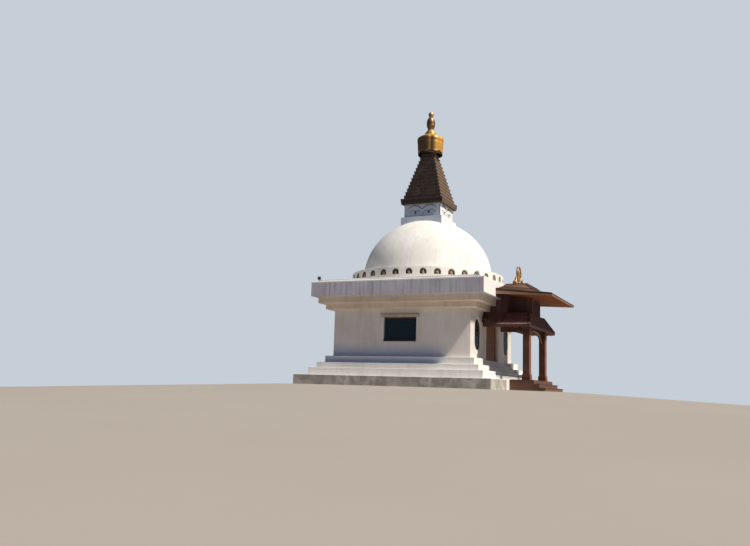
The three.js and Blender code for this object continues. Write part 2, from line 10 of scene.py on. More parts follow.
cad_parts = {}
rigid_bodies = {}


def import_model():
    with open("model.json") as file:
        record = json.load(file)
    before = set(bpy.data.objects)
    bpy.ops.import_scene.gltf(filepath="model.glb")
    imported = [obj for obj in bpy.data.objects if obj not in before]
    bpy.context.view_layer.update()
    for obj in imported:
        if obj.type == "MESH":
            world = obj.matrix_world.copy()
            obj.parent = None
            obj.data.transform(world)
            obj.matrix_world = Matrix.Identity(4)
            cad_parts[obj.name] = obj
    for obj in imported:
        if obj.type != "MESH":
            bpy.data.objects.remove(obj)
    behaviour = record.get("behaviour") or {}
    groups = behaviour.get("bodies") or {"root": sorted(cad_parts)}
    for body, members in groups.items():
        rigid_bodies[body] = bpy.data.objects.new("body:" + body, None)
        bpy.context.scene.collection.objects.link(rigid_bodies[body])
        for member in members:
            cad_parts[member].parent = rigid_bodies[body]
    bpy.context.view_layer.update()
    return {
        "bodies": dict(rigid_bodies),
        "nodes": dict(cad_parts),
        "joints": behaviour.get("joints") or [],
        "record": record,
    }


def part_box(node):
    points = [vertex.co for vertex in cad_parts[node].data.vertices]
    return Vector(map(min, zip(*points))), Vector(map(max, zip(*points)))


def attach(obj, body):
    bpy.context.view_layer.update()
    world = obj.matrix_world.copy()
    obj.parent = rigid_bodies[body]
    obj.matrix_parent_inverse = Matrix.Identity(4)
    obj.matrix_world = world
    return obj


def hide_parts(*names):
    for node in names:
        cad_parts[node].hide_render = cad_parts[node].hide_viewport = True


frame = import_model()
nodes = frame["nodes"]
bpy.ops.object.select_all(action="DESELECT")
chance = Random(11)                           # seeded, so that each run is the same
fullTurn = 2 * math.pi
hair = 0.001                                  # metres: closer than this, two heights are the same
print("frame loaded")

# Camera at the photograph's angle, in metres.
view = {
    "place": (-42.667, -16.617, -0.265),
    "heading": math.radians(25.2),           # from +X towards +Y
    "tiltUp": math.radians(8.645),
    "lean": math.radians(1.823),
    "lens": 37.34,
    "sensor": 36,
}

# Soft studio light from the entrance side, and a pale floor that falls away beyond the building.
studio = {
    "sunFrom": (-0.12, -1, 1.4),
    "sunStrength": 4.7,
    "sunAngle": math.radians(5),
    "sunColour": "#fff6ea",
    "skyColour": "#a9c0e6",
    "skyStrength": 0.25,
    "floorFlat": 8.6,
    "floorEdge": 70,
    "floorFall": 0.045,
    "backdrop": "#c6ced8",
    "floorLight": "#a8a198",
    "floorDark": "#a0998f",
}


def pick(*pieces):
    bpy.ops.object.select_all(action="DESELECT")
    for piece in pieces:
        piece.select_set(True)
    bpy.context.view_layer.objects.active = pieces[0]


def settled(piece):
    pick(piece)
    bpy.ops.object.transform_apply(location=True, rotation=True, scale=True)
    return piece


# Opens a piece's mesh for editing with all of it selected, and closes it again.
def openMesh(piece):
    pick(piece)
    bpy.ops.object.mode_set(mode="EDIT")
    bpy.ops.mesh.select_all(action="SELECT")


def closeMesh():
    bpy.ops.object.mode_set(mode="OBJECT")


def shaped(piece, kind, **settings):
    pick(piece)
    modifier = piece.modifiers.new("shape", kind)
    for name, value in settings.items():
        setattr(modifier, name, value)
    bpy.ops.object.modifier_apply(modifier=modifier.name)
    return piece


def eased(piece, width, segments=1):
    return shaped(piece, "BEVEL", width=width, segments=segments, limit_method="ANGLE",
                  angle_limit=math.radians(30))


def joined(parts, name):
    pick(*parts)
    if len(parts) > 1:
        bpy.ops.object.join()
    made = bpy.context.view_layer.objects.active
    made.name = name
    return made


def copied(piece, move):
    twin = piece.copy()
    twin.data = piece.data.copy()
    twin.data.transform(move)
    if move.determinant() < 0:
        twin.data.flip_normals()
    bpy.context.collection.objects.link(twin)
    return twin


def turned(angle, axis="Z", about=(0, 0, 0)):
    centre = Matrix.Translation(about)
    return centre @ Matrix.Rotation(angle, 4, axis) @ centre.inverted()


mirrorX = Matrix.Scale(-1, 4, (1, 0, 0))


# Smooth line through the given points.
def flowing(points, steps=6):
    ends = [points[0], *points, points[-1]]
    line = []
    for i in range(1, len(ends) - 2):
        a, b, c, d = (Vector(ends[i + k]) for k in (-1, 0, 1, 2))
        for k in range(steps):
            t = k / steps
            line.append(0.5 * (2 * b + (c - a) * t + (2 * a - 5 * b + 4 * c - d) * t * t
                               + (3 * b - a - 3 * c + d) * t ** 3))
    line.append(Vector(points[-1]))
    return line


def arc(centre, radius, start, end, steps):
    angles = [start + (end - start) * i / steps for i in range(steps + 1)]
    return [(centre[0] + radius * math.cos(a), centre[1] + radius * math.sin(a)) for a in angles]


def ring(low, high):
    return [(low[0], low[1]), (high[0], low[1]), (high[0], high[1]), (low[0], high[1])]


def linked(name, data):
    piece = bpy.data.objects.new(name, data)
    bpy.context.collection.objects.link(piece)
    pick(piece)
    return piece


# Lines of points drawn as one curve and turned into a mesh.
def drawn(name, lines, closed, **settings):
    drawing = bpy.data.curves.new(name, "CURVE")
    for setting, value in settings.items():
        setattr(drawing, setting, value)
    for line in lines:
        spline = drawing.splines.new("POLY")
        spline.points.add(len(line) - 1)
        for dot, place in zip(spline.points, line):
            dot.co = (*place, 1)
        spline.use_cyclic_u = closed
    piece = linked(name, drawing)
    bpy.ops.object.convert(target="MESH")
    return piece


# Flat outline with holes, given its thickness along one axis.
def plate(outlines, axis, low, high, edge=0):
    flat = [[(x, y, 0) for x, y, *_ in outline] for outline in outlines]
    piece = drawn("plate", flat, True, dimensions="2D", fill_mode="BOTH", extrude=(high - low) / 2)
    sides = {
        "x": ((0, 1, 0), (0, 0, 1), (1, 0, 0)),
        "y": ((1, 0, 0), (0, 0, 1), (0, -1, 0)),
        "z": ((1, 0, 0), (0, 1, 0), (0, 0, 1)),
    }
    middle = [(low + high) / 2 if axis == name else 0 for name in "xyz"]
    piece.data.transform(Matrix.Translation(middle) @ Matrix(sides[axis]).transposed().to_4x4())
    openMesh(piece)
    bpy.ops.mesh.remove_doubles(threshold=0.0001)
    bpy.ops.mesh.dissolve_limited(angle_limit=math.radians(0.5))
    bpy.ops.mesh.normals_make_consistent(inside=False)
    closeMesh()
    return eased(piece, edge) if edge else piece


def block(low, high, edge=0, segments=1):
    size = [b - a for a, b in zip(low, high)]
    middle = [(a + b) / 2 for a, b in zip(low, high)]
    bpy.ops.mesh.primitive_cube_add(size=1, location=middle, scale=size)
    made = settled(bpy.context.object)
    return eased(made, edge, segments) if edge else made


def ball(place, radius, segments, rings):
    bpy.ops.mesh.primitive_uv_sphere_add(segments=segments, ring_count=rings, radius=radius, location=place)
    return settled(bpy.context.object)


def rod(place, radius, depth, sides, tilt=0):
    bpy.ops.mesh.primitive_cylinder_add(vertices=sides, radius=radius, depth=depth, location=place,
                                        rotation=(tilt, 0, 0))
    return settled(bpy.context.object)


# Profile of (radius, height) spun round the upright axis.
def spun(profile, steps):
    piece = drawn("spun", [[(radius, 0, height) for radius, height in profile]], False, dimensions="3D")
    openMesh(piece)
    bpy.ops.mesh.spin(steps=steps, angle=fullTurn, center=(0, 0, 0), axis=(0, 0, 1))
    bpy.ops.mesh.select_all(action="SELECT")
    bpy.ops.mesh.remove_doubles(threshold=0.0002)
    bpy.ops.mesh.normals_make_consistent(inside=False)
    closeMesh()
    return piece


def smoothed(piece, degrees=35):
    pick(piece)
    bpy.ops.object.shade_smooth_by_angle(angle=math.radians(degrees))
    return piece


# Merged copy of a CAD node, to be rounded and dressed.
def takenOver(node, name):
    piece = nodes[node].copy()
    piece.data = nodes[node].data.copy()
    piece.name = name
    piece.parent = None
    for key in list(piece.keys()):
        del piece[key]
    piece.data.materials.clear()
    bpy.context.collection.objects.link(piece)
    pick(piece)
    bpy.ops.mesh.customdata_custom_splitnormals_clear()
    openMesh(piece)
    bpy.ops.mesh.remove_doubles(threshold=0.0001)
    bpy.ops.mesh.dissolve_limited(angle_limit=math.radians(1))
    closeMesh()
    return piece


# Rounds the sharp edges whose middle passes the test.
def rounded(piece, width, keep, segments=2):
    pick(piece)
    bpy.ops.object.mode_set(mode="EDIT")
    bpy.ops.mesh.select_mode(type="EDGE")
    bpy.ops.mesh.select_all(action="DESELECT")
    bpy.ops.mesh.edges_select_sharp(sharpness=math.radians(30))
    closeMesh()
    mesh = piece.data
    for edge in mesh.edges:
        if edge.select:
            a, b = (mesh.vertices[i].co for i in edge.vertices)
            edge.select = keep((a + b) / 2)
    for vertex in mesh.vertices:
        vertex.select = False
    for face in mesh.polygons:
        face.select = False
    bpy.ops.object.mode_set(mode="EDIT")
    bpy.ops.mesh.bevel(offset=width, segments=segments, profile=0.5, affect="EDGES")
    bpy.ops.mesh.select_mode(type="VERT")
    closeMesh()
    return piece


def carved(piece, tools):
    tool = joined(tools, "tool")
    shaped(piece, "BOOLEAN", object=tool, operation="DIFFERENCE", solver="EXACT")
    bpy.data.objects.remove(tool)
    return piece


def dress(piece, material, replaced=(), body="stupa", name=None):
    piece.name = name or piece.name
    piece.data.materials.clear()
    piece.data.materials.append(material)
    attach(piece, body)
    if replaced:
        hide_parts(*replaced)
    return piece


# Materials.
def linear(hexColour):
    parts = [int(hexColour[i:i + 2], 16) / 255 for i in (1, 3, 5)]
    return [p / 12.92 if p <= 0.04045 else ((p + 0.055) / 1.055) ** 2.4 for p in parts] + [1]


# Adds a node: unnamed values go to its inputs in order, named ones to its settings or its inputs.
def addNode(material, kind, *values, **named):
    made = material.node_tree.nodes.new("ShaderNode" + kind)
    if kind == "Mix":
        made.data_type = "RGBA"
    settings = [name for name in named if hasattr(made, name)]
    for name in settings:
        setattr(made, name, named.pop(name))
    for name, value in [*enumerate(values), *named.items()]:
        if isinstance(name, int):
            socket = made.inputs[name]
        else:
            socket = next(s for s in made.inputs if s.name == name.replace("_", " ") and s.enabled)
        if isinstance(value, bpy.types.Node):
            value = next(s for s in value.outputs if s.enabled)
        if isinstance(value, bpy.types.NodeSocket):
            material.node_tree.links.new(value, socket)
        elif isinstance(value, str):
            socket.default_value = linear(value)
        else:
            socket.default_value = value
    return made


def newFinish(name, **shaderValues):
    material = bpy.data.materials.new(name)
    material.use_nodes = True
    shader = material.node_tree.nodes["Principled BSDF"]
    for socket, value in shaderValues.items():
        shader.inputs[socket.replace("_", " ")].default_value = value
    return material, shader, partial(addNode, material)


def feed(shader, **sources):
    for name, source in sources.items():
        if isinstance(source, bpy.types.Node):
            source = next(s for s in source.outputs if s.enabled)
        shader.id_data.links.new(source, shader.inputs[name.replace("_", " ")])


# How far a surface turns towards a direction, for painted light and shade on the sides that face towards or
# away from the sun.
def facing(add, towards, start, full, most=1):
    normal = add("NewGeometry").outputs["Normal"]
    turn = add("VectorMath", normal, towards, operation="DOT_PRODUCT").outputs["Value"]
    return add("MapRange", Value=turn, From_Min=start, From_Max=full, To_Max=most)


# Lime wash on hand-trowelled render: chalky and slightly cloudy, with faint washed-down dirt.
def limeWash(name, light, dark, stain, stainShare=0.3, streakAcross=5, streakDown=0.35, cloudScale=0.7):
    material, shader, add = newFinish(name, Roughness=0.88)
    where = add("TexCoord").outputs["Object"]
    cloud = add("TexNoise", Vector=where, Scale=cloudScale, Detail=6)
    cloudShare = add("MapRange", Value=cloud, From_Min=0.38, From_Max=0.68)
    body = add("Mix", Factor=cloudShare, A=light, B=dark)
    across = (streakAcross, streakAcross, streakDown)
    drawnOut = add("Mapping", Vector=where, Scale=across)
    streaks = add("TexNoise", Vector=drawnOut, Scale=1, Detail=4)
    streakShare = add("MapRange", Value=streaks, From_Min=0.5, From_Max=0.75, To_Max=stainShare)
    washed = add("Mix", Factor=streakShare, A=body, B=stain)
    trowel = add("TexNoise", Vector=where, Scale=3.5, Detail=2)
    sand = add("TexNoise", Vector=where, Scale=55, Detail=3)
    relief = add("Math", sand, 0.12, trowel, operation="MULTIPLY_ADD")
    bump = add("Bump", Height=relief, Strength=0.6, Distance=0.012)
    feed(shader, Base_Color=washed, Normal=bump)
    return material, shader, add, where, washed


# Wash with painted light: faces turned to the entrance are painted white as if sunlit, while the other sides
# keep the greyer wash, which stands partly for shade.
def sunlitFrontWash(name, *colours):
    material, shader, add, where, washed = limeWash(name, *colours)
    # Painted sunlight: faces turned to the entrance are mixed to white.
    front = facing(add, (0, -1, 0), 0.5, 0.8)
    paintedSunlitFront = add("Mix", Factor=front, A=washed, B="#f5f3ee")
    feed(shader, Base_Color=paintedSunlitFront)
    return material


# Wash with painted shade: cooler and greyer towards the foot, where the ledges below keep it in shade, fading
# out towards the sunlit entrance side.
def shadedFootWash(name, low, high, tint, *colours):
    material, shader, add, where, washed = limeWash(name, *colours)
    place = add("SeparateXYZ", Vector=where)
    footShade = add("MapRange", Value=place.outputs["Z"], From_Min=high, From_Max=low,
                   interpolation_type="SMOOTHSTEP")
    rear = add("MapRange", Value=place.outputs["Y"], From_Min=-3, From_Max=-1.9)
    share = add("Math", footShade, rear, operation="MULTIPLY")
    footShaded = add("Mix", Factor=share, A=washed, B=tint)
    feed(shader, Base_Color=footShaded)
    return material


# Bare cement render: grey, blotched by damp, with a whitened tread.
def bareCement(name, light, dark, whitened):
    material, shader, add, where, washed = limeWash(name, light, dark, dark, 0.5, 2.2, 0.9, 0.9)
    blotch = add("TexNoise", Vector=where, Scale=2.6, Detail=7)
    blotchShare = add("MapRange", Value=blotch, From_Min=0.45, From_Max=0.62)
    blotched = add("Mix", Factor=blotchShare, A=washed, B=dark)
    normal = add("NewGeometry").outputs["Normal"]
    upward = add("SeparateXYZ", Vector=normal).outputs["Z"]
    treadShare = add("MapRange", Value=upward, From_Min=0.6, From_Max=0.9)
    tread = add("Mix", Factor=treadShare, A=blotched, B=whitened)
    feed(shader, Base_Color=tread)
    return material


# Stained softwood: fibres along the board, each board a little lighter or darker, bleached in patches, and
# where asked with painted sunlight: paler on the side facing the entrance.
def stainedTimber(name, dark, light, bleachAndSunlight, grain="board", bleachShare=0.35, gloss=0.68, paintedSunlitSide=0):
    material, shader, add = newFinish(name, Roughness=gloss)
    coords = add("TexCoord")
    where = coords.outputs["UV" if grain == "board" else "Object"]
    along = {"board": (1, 0.06, 1), "x": (0.06, 1, 1), "y": (1, 0.06, 1), "z": (1, 1, 0.06)}[grain]
    drawnOut = add("Mapping", Vector=where, Scale=along)
    fibre = add("TexNoise", Vector=drawnOut, Scale=42, Detail=5)  # 25 mm bands
    fibreShare = add("MapRange", Value=fibre, From_Min=0.32, From_Max=0.68)
    tone = add("Attribute", attribute_name="tone").outputs["Fac"]
    mixed = add("Math", tone, 0.55, 0, operation="MULTIPLY_ADD")
    share = add("Math", fibreShare, 0.5, mixed, operation="MULTIPLY_ADD")
    wood = add("Mix", Factor=share, A=dark, B=light)
    patch = add("TexNoise", Vector=coords.outputs["Object"], Scale=1.7, Detail=5)
    patchShare = add("MapRange", Value=patch, From_Min=0.48, From_Max=0.72, To_Max=bleachShare)
    worn = add("Mix", Factor=patchShare, A=wood, B=bleachAndSunlight)
    # Painted sunlight: faces turned to the entrance mix towards the pale colour.
    if paintedSunlitSide:
        paintedSunlight = facing(add, (0, -1, 0.2), 0.3, 0.8, paintedSunlitSide)
        worn = add("Mix", Factor=paintedSunlight, A=worn, B=bleachAndSunlight)
    bump = add("Bump", Height=fibre, Strength=0.5, Distance=0.004)
    feed(shader, Base_Color=worn, Normal=bump)
    return material


# Gilded sheet: warm metal, duller where rain has stood on it, with painted shade: dark brown on the side
# turned away from the light.
def gilding(name, bright, dull, roughness=0.36, dullShare=0.7, metal=1, paintedShadeSide=0):
    material, shader, add = newFinish(name, Metallic=metal)
    where = add("TexCoord").outputs["Object"]
    bloom = add("TexNoise", Vector=where, Scale=5, Detail=6)
    share = add("MapRange", Value=bloom, From_Min=0.42, From_Max=0.7, To_Max=dullShare)
    leaf = add("Mix", Factor=share, A=bright, B=dull)
    # Painted shade: faces turned away from the light mix towards dark brown.
    if paintedShadeSide:
        awayFromLight = facing(add, (-1, 0.3, 0), 0.35, 0.85, paintedShadeSide)
        leaf = add("Mix", Factor=awayFromLight, A=leaf, B="#3b2f29")
    sheen = add("MapRange", Value=bloom, To_Min=roughness - 0.1, To_Max=roughness + 0.25)
    beaten = add("TexNoise", Vector=where, Scale=24, Detail=2)
    bump = add("Bump", Height=beaten, Strength=0.3, Distance=0.004)
    feed(shader, Base_Color=leaf, Roughness=sheen, Normal=bump)
    return material


# Even paint or powder coat with a slight unevenness.
def coat(name, colour, worn, roughness=0.5, metal=0, scale=9):
    material, shader, add = newFinish(name, Roughness=roughness, Metallic=metal)
    where = add("TexCoord").outputs["Object"]
    wear = add("TexNoise", Vector=where, Scale=scale, Detail=6)
    share = add("MapRange", Value=wear, From_Min=0.45, From_Max=0.75)
    body = add("Mix", Factor=share, A=colour, B=worn)
    bump = add("Bump", Height=wear, Strength=0.25, Distance=0.002)
    feed(shader, Base_Color=body, Normal=bump)
    return material


# Wash with the recesses behind a radius and under a height lined in taupe, which is partly a lining colour
# and partly painted shade that darkens the recesses, and paler towards the entrance as painted sunlight.
def nicheLiningAndShade(name, behind, below, paintedSunlight, shadedLining, *colours):
    material, shader, add, where, washed = limeWash(name, *colours)
    parts = add("SeparateXYZ", Vector=where)
    flatPlace = add("CombineXYZ", X=parts.outputs["X"], Y=parts.outputs["Y"])
    out = add("VectorMath", flatPlace, operation="LENGTH").outputs["Value"]
    inside = add("Math", out, behind, operation="LESS_THAN")
    under = add("Math", parts.outputs["Z"], below, operation="LESS_THAN")
    recess = add("Math", inside, under, operation="MULTIPLY")
    # Painted sunlight: the lining turns paler towards the entrance side.
    front = add("MapRange", Value=parts.outputs["Y"], From_Min=-0.5, From_Max=-4.2)
    liningAndShade = add("Mix", Factor=front, A=shadedLining, B=paintedSunlight)
    painted = add("Mix", Factor=recess, A=washed, B=liningAndShade)
    feed(shader, Base_Color=painted)
    return material


# Grey-green tinted glass: dark, with a clear gloss and a little of the room behind it.
def glazing():
    material, shader, add = newFinish("tintedGlass", Roughness=0.04, Transmission_Weight=0.35, IOR=1.5)
    where = add("TexCoord").outputs["Object"]
    film = add("TexNoise", Vector=where, Scale=1.4, Detail=4)
    tint = add("Mix", Factor=film, A="#16282c", B="#22393c")
    dust = add("MapRange", Value=film, To_Min=0.03, To_Max=0.12)
    feed(shader, Base_Color=tint, Roughness=dust)
    return material


whitewash = limeWash("limewashedRender", "#f5f3ee", "#e9e6df", "#cfc8bb", 0.35)[0]
# Taupe lining: the sunlit colour first and the shaded colour second, as painted sunlight and painted shade.
nicheWash = nicheLiningAndShade("limewashedDrum", 4.43, 6.4, "#d2c6b4", "#90796a",
                       "#f5f3ee", "#e9e6df", "#cfc8bb", 0.35)
terraceWash = limeWash("terraceScreed", "#f0eee8", "#dedbd3", "#b9b3a8", 0.45, 1.2, 1.2)[0]
# The blue tints of the wall and top tier washes are painted shade at their foot.
wallWash = shadedFootWash("creamWashedWall", 1.75, 2.5, "#bec4d6", "#e7e1dc", "#dad2cc", "#b7aca3", 0.3, 3, 0.5)
ledgeWash = shadedFootWash("limewashedLedge", 1.4, 1.66, "#bcc8e0", "#f5f3ee", "#e9e6df", "#cfc8bb", 0.35)
# Cream wash on the cornices, made warmer as painted warm light bounced up from the ground.
creamAndBounceCorniceWash = limeWash("creamAndBounceCornice", "#e6d7c6", "#d8c7b3", "#ad9e8b", 0.35, 4, 0.5)[0]
copingWash = limeWash("copingRender", "#f8f7f3", "#eceae5", "#c4c0b8", 0.4, 3, 0.8)[0]
hoodPaint = limeWash("taupeHoodRender", "#bdae9a", "#a4957f", "#7f7263", 0.4, 5, 0.4)[0]
cement = bareCement("bareCementRender", "#d3cfc6", "#a39d92", "#eae8e3")
clay = coat("sunDriedClay", "#a6927a", "#8a7761", 0.9, 0, 30)
# The last number of these gildings is the share of painted shade on the side away from the light.
gold = gilding("gildedCopper", "#e2b67a", "#937046", 0.36, 0.6, 0.7, 0.5)
crownGold = gilding("gildedCrownSheet", "#f4b856", "#c58d40", 0.4, 0.35, 0.45, 0.88)
bronze = gilding("weatheredGilding", "#ad8463", "#60493a", 0.42, 0.9, 0.8, 0.4)
# The last number of a timber, where given, is the share of painted sunlight on the side facing the entrance.
postTimber = stainedTimber("stainedPost", "#40251c", "#68402f", "#a86b4b", "z", 0.2, 0.68, 0.6)
beamTimber = stainedTimber("stainedBeam", "#4a2c22", "#704737", "#8d6450")
wallTimber = stainedTimber("stainedWallBoards", "#483132", "#674848", "#75544d")
# Oiled boards, their strong orange partly painted warm light bounced up from the ground.
soffitTimber = stainedTimber("oiledSoffitBoards", "#82421a", "#a65c26", "#a86f3c", "board", 0.15, 0.85)
fasciaTimber = stainedTimber("paleFascia", "#94725a", "#b8957a", "#c7ad94")
dripTimber = stainedTimber("darkDripEdge", "#2f211a", "#4a362b", "#5e4a3d")
skirtEdge = stainedTimber("darkRoofCaps", "#3d2a27", "#5b3f3a", "#7a5d52", "board", 0.35, 0.78)
coreTimber = stainedTimber("stainedWallFrame", "#483132", "#674848", "#75544d", "z")
archTimber = stainedTimber("stainedArchBoard", "#4a2c22", "#704737", "#8d6450", "x")
deckUnderside = stainedTimber("roughRoofDeck", "#4a2f25", "#70493a", "#85604c", "y", 0.3, 0.8)
trimPaint = coat("beigeTrimPaint", "#cdb594", "#a88f72", 0.6, 0, 12)
shingleTimber = stainedTimber("weatheredShingles", "#59402f", "#856450", "#9a8069", "board", 0.45, 0.85)
skirtTimber = stainedTimber("maroonRoofBoards", "#573532", "#7f5650", "#936a5c", "board", 0.35, 0.75)
spireTimber = stainedTimber("darkSpireShingles", "#423630", "#6b5b4e", "#9c8067", "board", 0.15, 0.85, 0.5)
slabTimber = stainedTimber("darkSlabBoards", "#2f2726", "#4a3f3b", "#84705f", "board", 0.1, 0.82, 0.6)
capTimber = stainedTimber("darkStepCaps", "#3a302b", "#5c4e45", "#94795f", "board", 0.15, 0.85, 0.6)
deckTimber = stainedTimber("weatheredDeck", "#573b30", "#7e5c4b", "#947460", "board", 0.45, 0.82)
doorTimber = stainedTimber("stainedDoor", "#7a4c38", "#aa7558", "#b0866a", "z", 0.2, 0.5)
# Band: real grey streaks, with its lavender grey partly painted shade. Harmika blocks: bluish grey that is
# painted sky-lit shade. Both are painted white on the entrance side as painted sunlight.
bandWash = sunlitFrontWash("streakedParapetWash", "#d5d2da", "#c3c0cb", "#8f8d9b", 0.75, 7.5, 0.3)
skyShadedBlockWash = sunlitFrontWash("skyShadeBlockWash", "#cbd6e2", "#bcc8d6", "#a3aebf", 0.4, 6, 0.4)
tintedGlass = glazing()
frameCoat = coat("darkWindowFrame", "#2f2a28", "#3d3733", 0.45)
ironCoat = coat("greyPowderCoat", "#4b4e52", "#5a5d61", 0.5, 0, 40)
# Pale lamp coat: painted sunlight on the front lamps, which are otherwise grey like the back ones.
sunlitLampCoat = coat("sunlitLampPowderCoat", "#c6cac4", "#b0b5ae", 0.6, 0, 40)
valancePaint = coat("blackBrownPaint", "#2b2326", "#3c3234", 0.75, 0, 7)
brass = gilding("agedBrassPull", "#b98d4b", "#6b5030", 0.35, 0.6)
eyeLine = coat("slateBluePaint", "#5d6585", "#6f7793", 0.7, 0, 14)
eyePupil = coat("inkBluePaint", "#2b3350", "#3b4463", 0.6, 0, 14)
eyeBorder = coat("greyBluePaint", "#8f96ad", "#a3a8bb", 0.75, 0, 8)
print("materials ready")


# Base, cornices and the blocks on the dome: rendered masonry with hand-rounded arrises.
masonry = {
    "tierEdge": 0.022,
    "stepEdge": 0.014,
    "corniceEdge": 0.035,
    "copingEdge": 0.05,
    "terraceEdge": 0.018,
    "blockEdge": 0.016,
    "flightFrom": 0.5,                         # heights from which these pieces are rounded
    "copingFrom": 5.7,
    "terraceFrom": 5.8,
    "blocks": (("harmika_plinth", 9.5), ("harmika", 10)),
}


def addMasonry(m):
    def rendered(node, name, edge, keep, material):
        dress(rounded(takenOver(node, name), edge, keep, 3), material, (node,))

    for node, material, slot in (("base_course", cement, "cement"), ("tier_two", whitewash, "stucco"),
                                 ("tier_three", whitewash, "stucco"), ("tier_four", ledgeWash, "stucco")):
        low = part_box(node)[0][2]
        rendered(node, node + "Render", m.tierEdge, lambda p: p.z > low + hair, material)
    rendered("entry_steps", "entryFlight", m.stepEdge, lambda p: p.z > m.flightFrom, whitewash)
    for node, material in (("cornice_low", creamAndBounceCorniceWash), ("cornice_mid", creamAndBounceCorniceWash),
                           ("parapet_band", bandWash)):
        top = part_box(node)[1][2]
        rendered(node, node + "Render", m.corniceEdge, lambda p: p.z < top - hair, material)
    rendered("parapet_coping", "copingRender", m.copingEdge, lambda p: p.z > m.copingFrom, copingWash)
    rendered("roof_terrace", "terraceScreed", m.terraceEdge, lambda p: p.z > m.terraceFrom, terraceWash)
    for node, low in m.blocks:
        rendered(node, node + "Render", m.blockEdge, lambda p: p.z > low, skyShadedBlockWash)
    print("masonry dressed")


# Room walls as one rendered shell, with the window, narrow window and door openings cut through.
wallPlan = {
    "outer": 4,
    "inner": 3.7,
    "low": 1.62,
    "top": 4.21,
    "windowHalf": 0.96,
    "sill": 2.45,
    "head": 3.76,
    "slitX": 2.78,
    "slitRadius": 0.49,
    "slitLow": 2.06,
    "slitTop": 3.73,
    "slitGlass": -3.92,
    "doorHalf": 1.17,
    "doorTop": 3.82,
    "edge": 0.014,
    "glassOut": -3.86,
    "glassIn": -3.84,
    "frameWide": 0.055,
    "frameDeep": 0.035,
    "frameEdge": 0.006,
    "beadWide": 0.02,
    "beadBack": 0.018,
    "beadEdge": 0.004,
    "slitRim": 0.045,
    "slitBar": 0.014,
    "hoodHalf": 1.105,
    "hood": [(0, 3.76), (-0.055, 3.76), (-0.062, 3.775), (-0.062, 3.8), (-0.075, 3.812), (-0.098, 3.83),
             (-0.118, 3.85), (-0.13, 3.862), (-0.13, 3.912), (-0.118, 3.93), (0, 3.93)],
}


def slitOutline(w, centre, grow=0):
    radius = w.slitRadius + grow
    low = arc((centre, w.slitLow + w.slitRadius), radius, math.pi, fullTurn, 20)
    return low + arc((centre, w.slitTop - w.slitRadius), radius, 0, math.pi, 20)


def addWalls(w):
    walls = block((-w.outer, -w.outer, w.low), (w.outer, w.outer, w.top))
    half, through = w.windowHalf, w.outer + 0.1
    room = block((-w.inner, -w.inner, 0), (w.inner, w.inner, 9))
    carved(walls, [room])
    sideWindows = block((-through, -half, w.sill), (through, half, w.head))
    backWindow = block((-half, 0, w.sill), (half, through, w.head))
    carved(walls, [sideWindows])
    carved(walls, [backWindow])
    carved(walls, [block((-w.doorHalf, -through, 0), (w.doorHalf, -3, w.doorTop))])
    carved(walls, [plate([slitOutline(w, side * w.slitX)], "y", -through, -3) for side in (-1, 1)])
    rounded(walls, w.edge, lambda p: w.low + hair < p.z < w.top - hair, 2)
    replaced = ("left_wall", "right_wall", "back_wall", "front_wall_left", "front_wall_right",
                "front_wall_head")
    dress(smoothed(walls, 25), wallWash, replaced, name="roomWalls")
    print("walls cut")


# A piece of the left wall, and its copies on the right and back walls.
def onThreeWalls(left, stem):
    right, back = (copied(left, turned(angle)) for angle in (math.pi, -math.pi / 2))
    pieces = [(left, "left"), (right, "right"), (back, "back")]
    for piece, word in pieces:
        piece.name = stem + word.capitalize()
    return pieces


# Window frames of dark metal, and the moulded hoods over the windows.
def addWindows(w):
    half = w.windowHalf
    outer, inner, beadRing = (ring((-half + wide, w.sill + wide), (half - wide, w.head - wide))
                              for wide in (0, w.frameWide, w.frameWide + w.beadWide))
    frameLow, frameTop = w.glassOut - w.frameDeep, w.glassIn + w.frameDeep
    frame = plate([outer, inner], "x", frameLow, frameTop, w.frameEdge)
    bead = plate([inner, beadRing], "x", frameLow + w.beadBack, frameTop - w.beadBack, w.beadEdge)
    sill = block((-w.outer - 0.03, -half + 0.005, w.sill - hair),
                 (frameLow + 0.01, half - 0.005, w.sill + 0.035), 0.008)
    for made, _ in onThreeWalls(joined([frame, bead, sill], "frame"), "windowFrame"):
        dress(made, frameCoat)
    for side in (-1, 1):
        x, y, reach = side * w.slitX, w.slitGlass, w.slitRadius - 0.02
        rim = plate([slitOutline(w, x), slitOutline(w, x, -w.slitRim)], "y", y - w.frameDeep, y + w.frameDeep,
                    w.frameEdge)
        bars = [block((x - reach, y - w.beadBack, z - w.slitBar), (x + reach, y + w.beadBack, z + w.slitBar),
                      w.beadEdge) for z in (w.slitLow + w.slitRadius, w.slitTop - w.slitRadius)]
        rim = joined([rim, *bars], "narrowFrameLeft" if side < 0 else "narrowFrameRight")
        dress(smoothed(rim), frameCoat)
    for node in ("left_glass", "right_glass", "back_glass", "narrow_glass_left", "narrow_glass_right"):
        for spot in nodes[node].material_slots:
            spot.material = tintedGlass
    profile = [(-w.outer + out, height) for out, height in w.hood]
    hood = plate([profile], "y", -w.hoodHalf, w.hoodHalf, 0.004)
    for made, word in onThreeWalls(hood, "hood"):
        dress(made, hoodPaint, (word + "_hood",))
    print("windows framed")


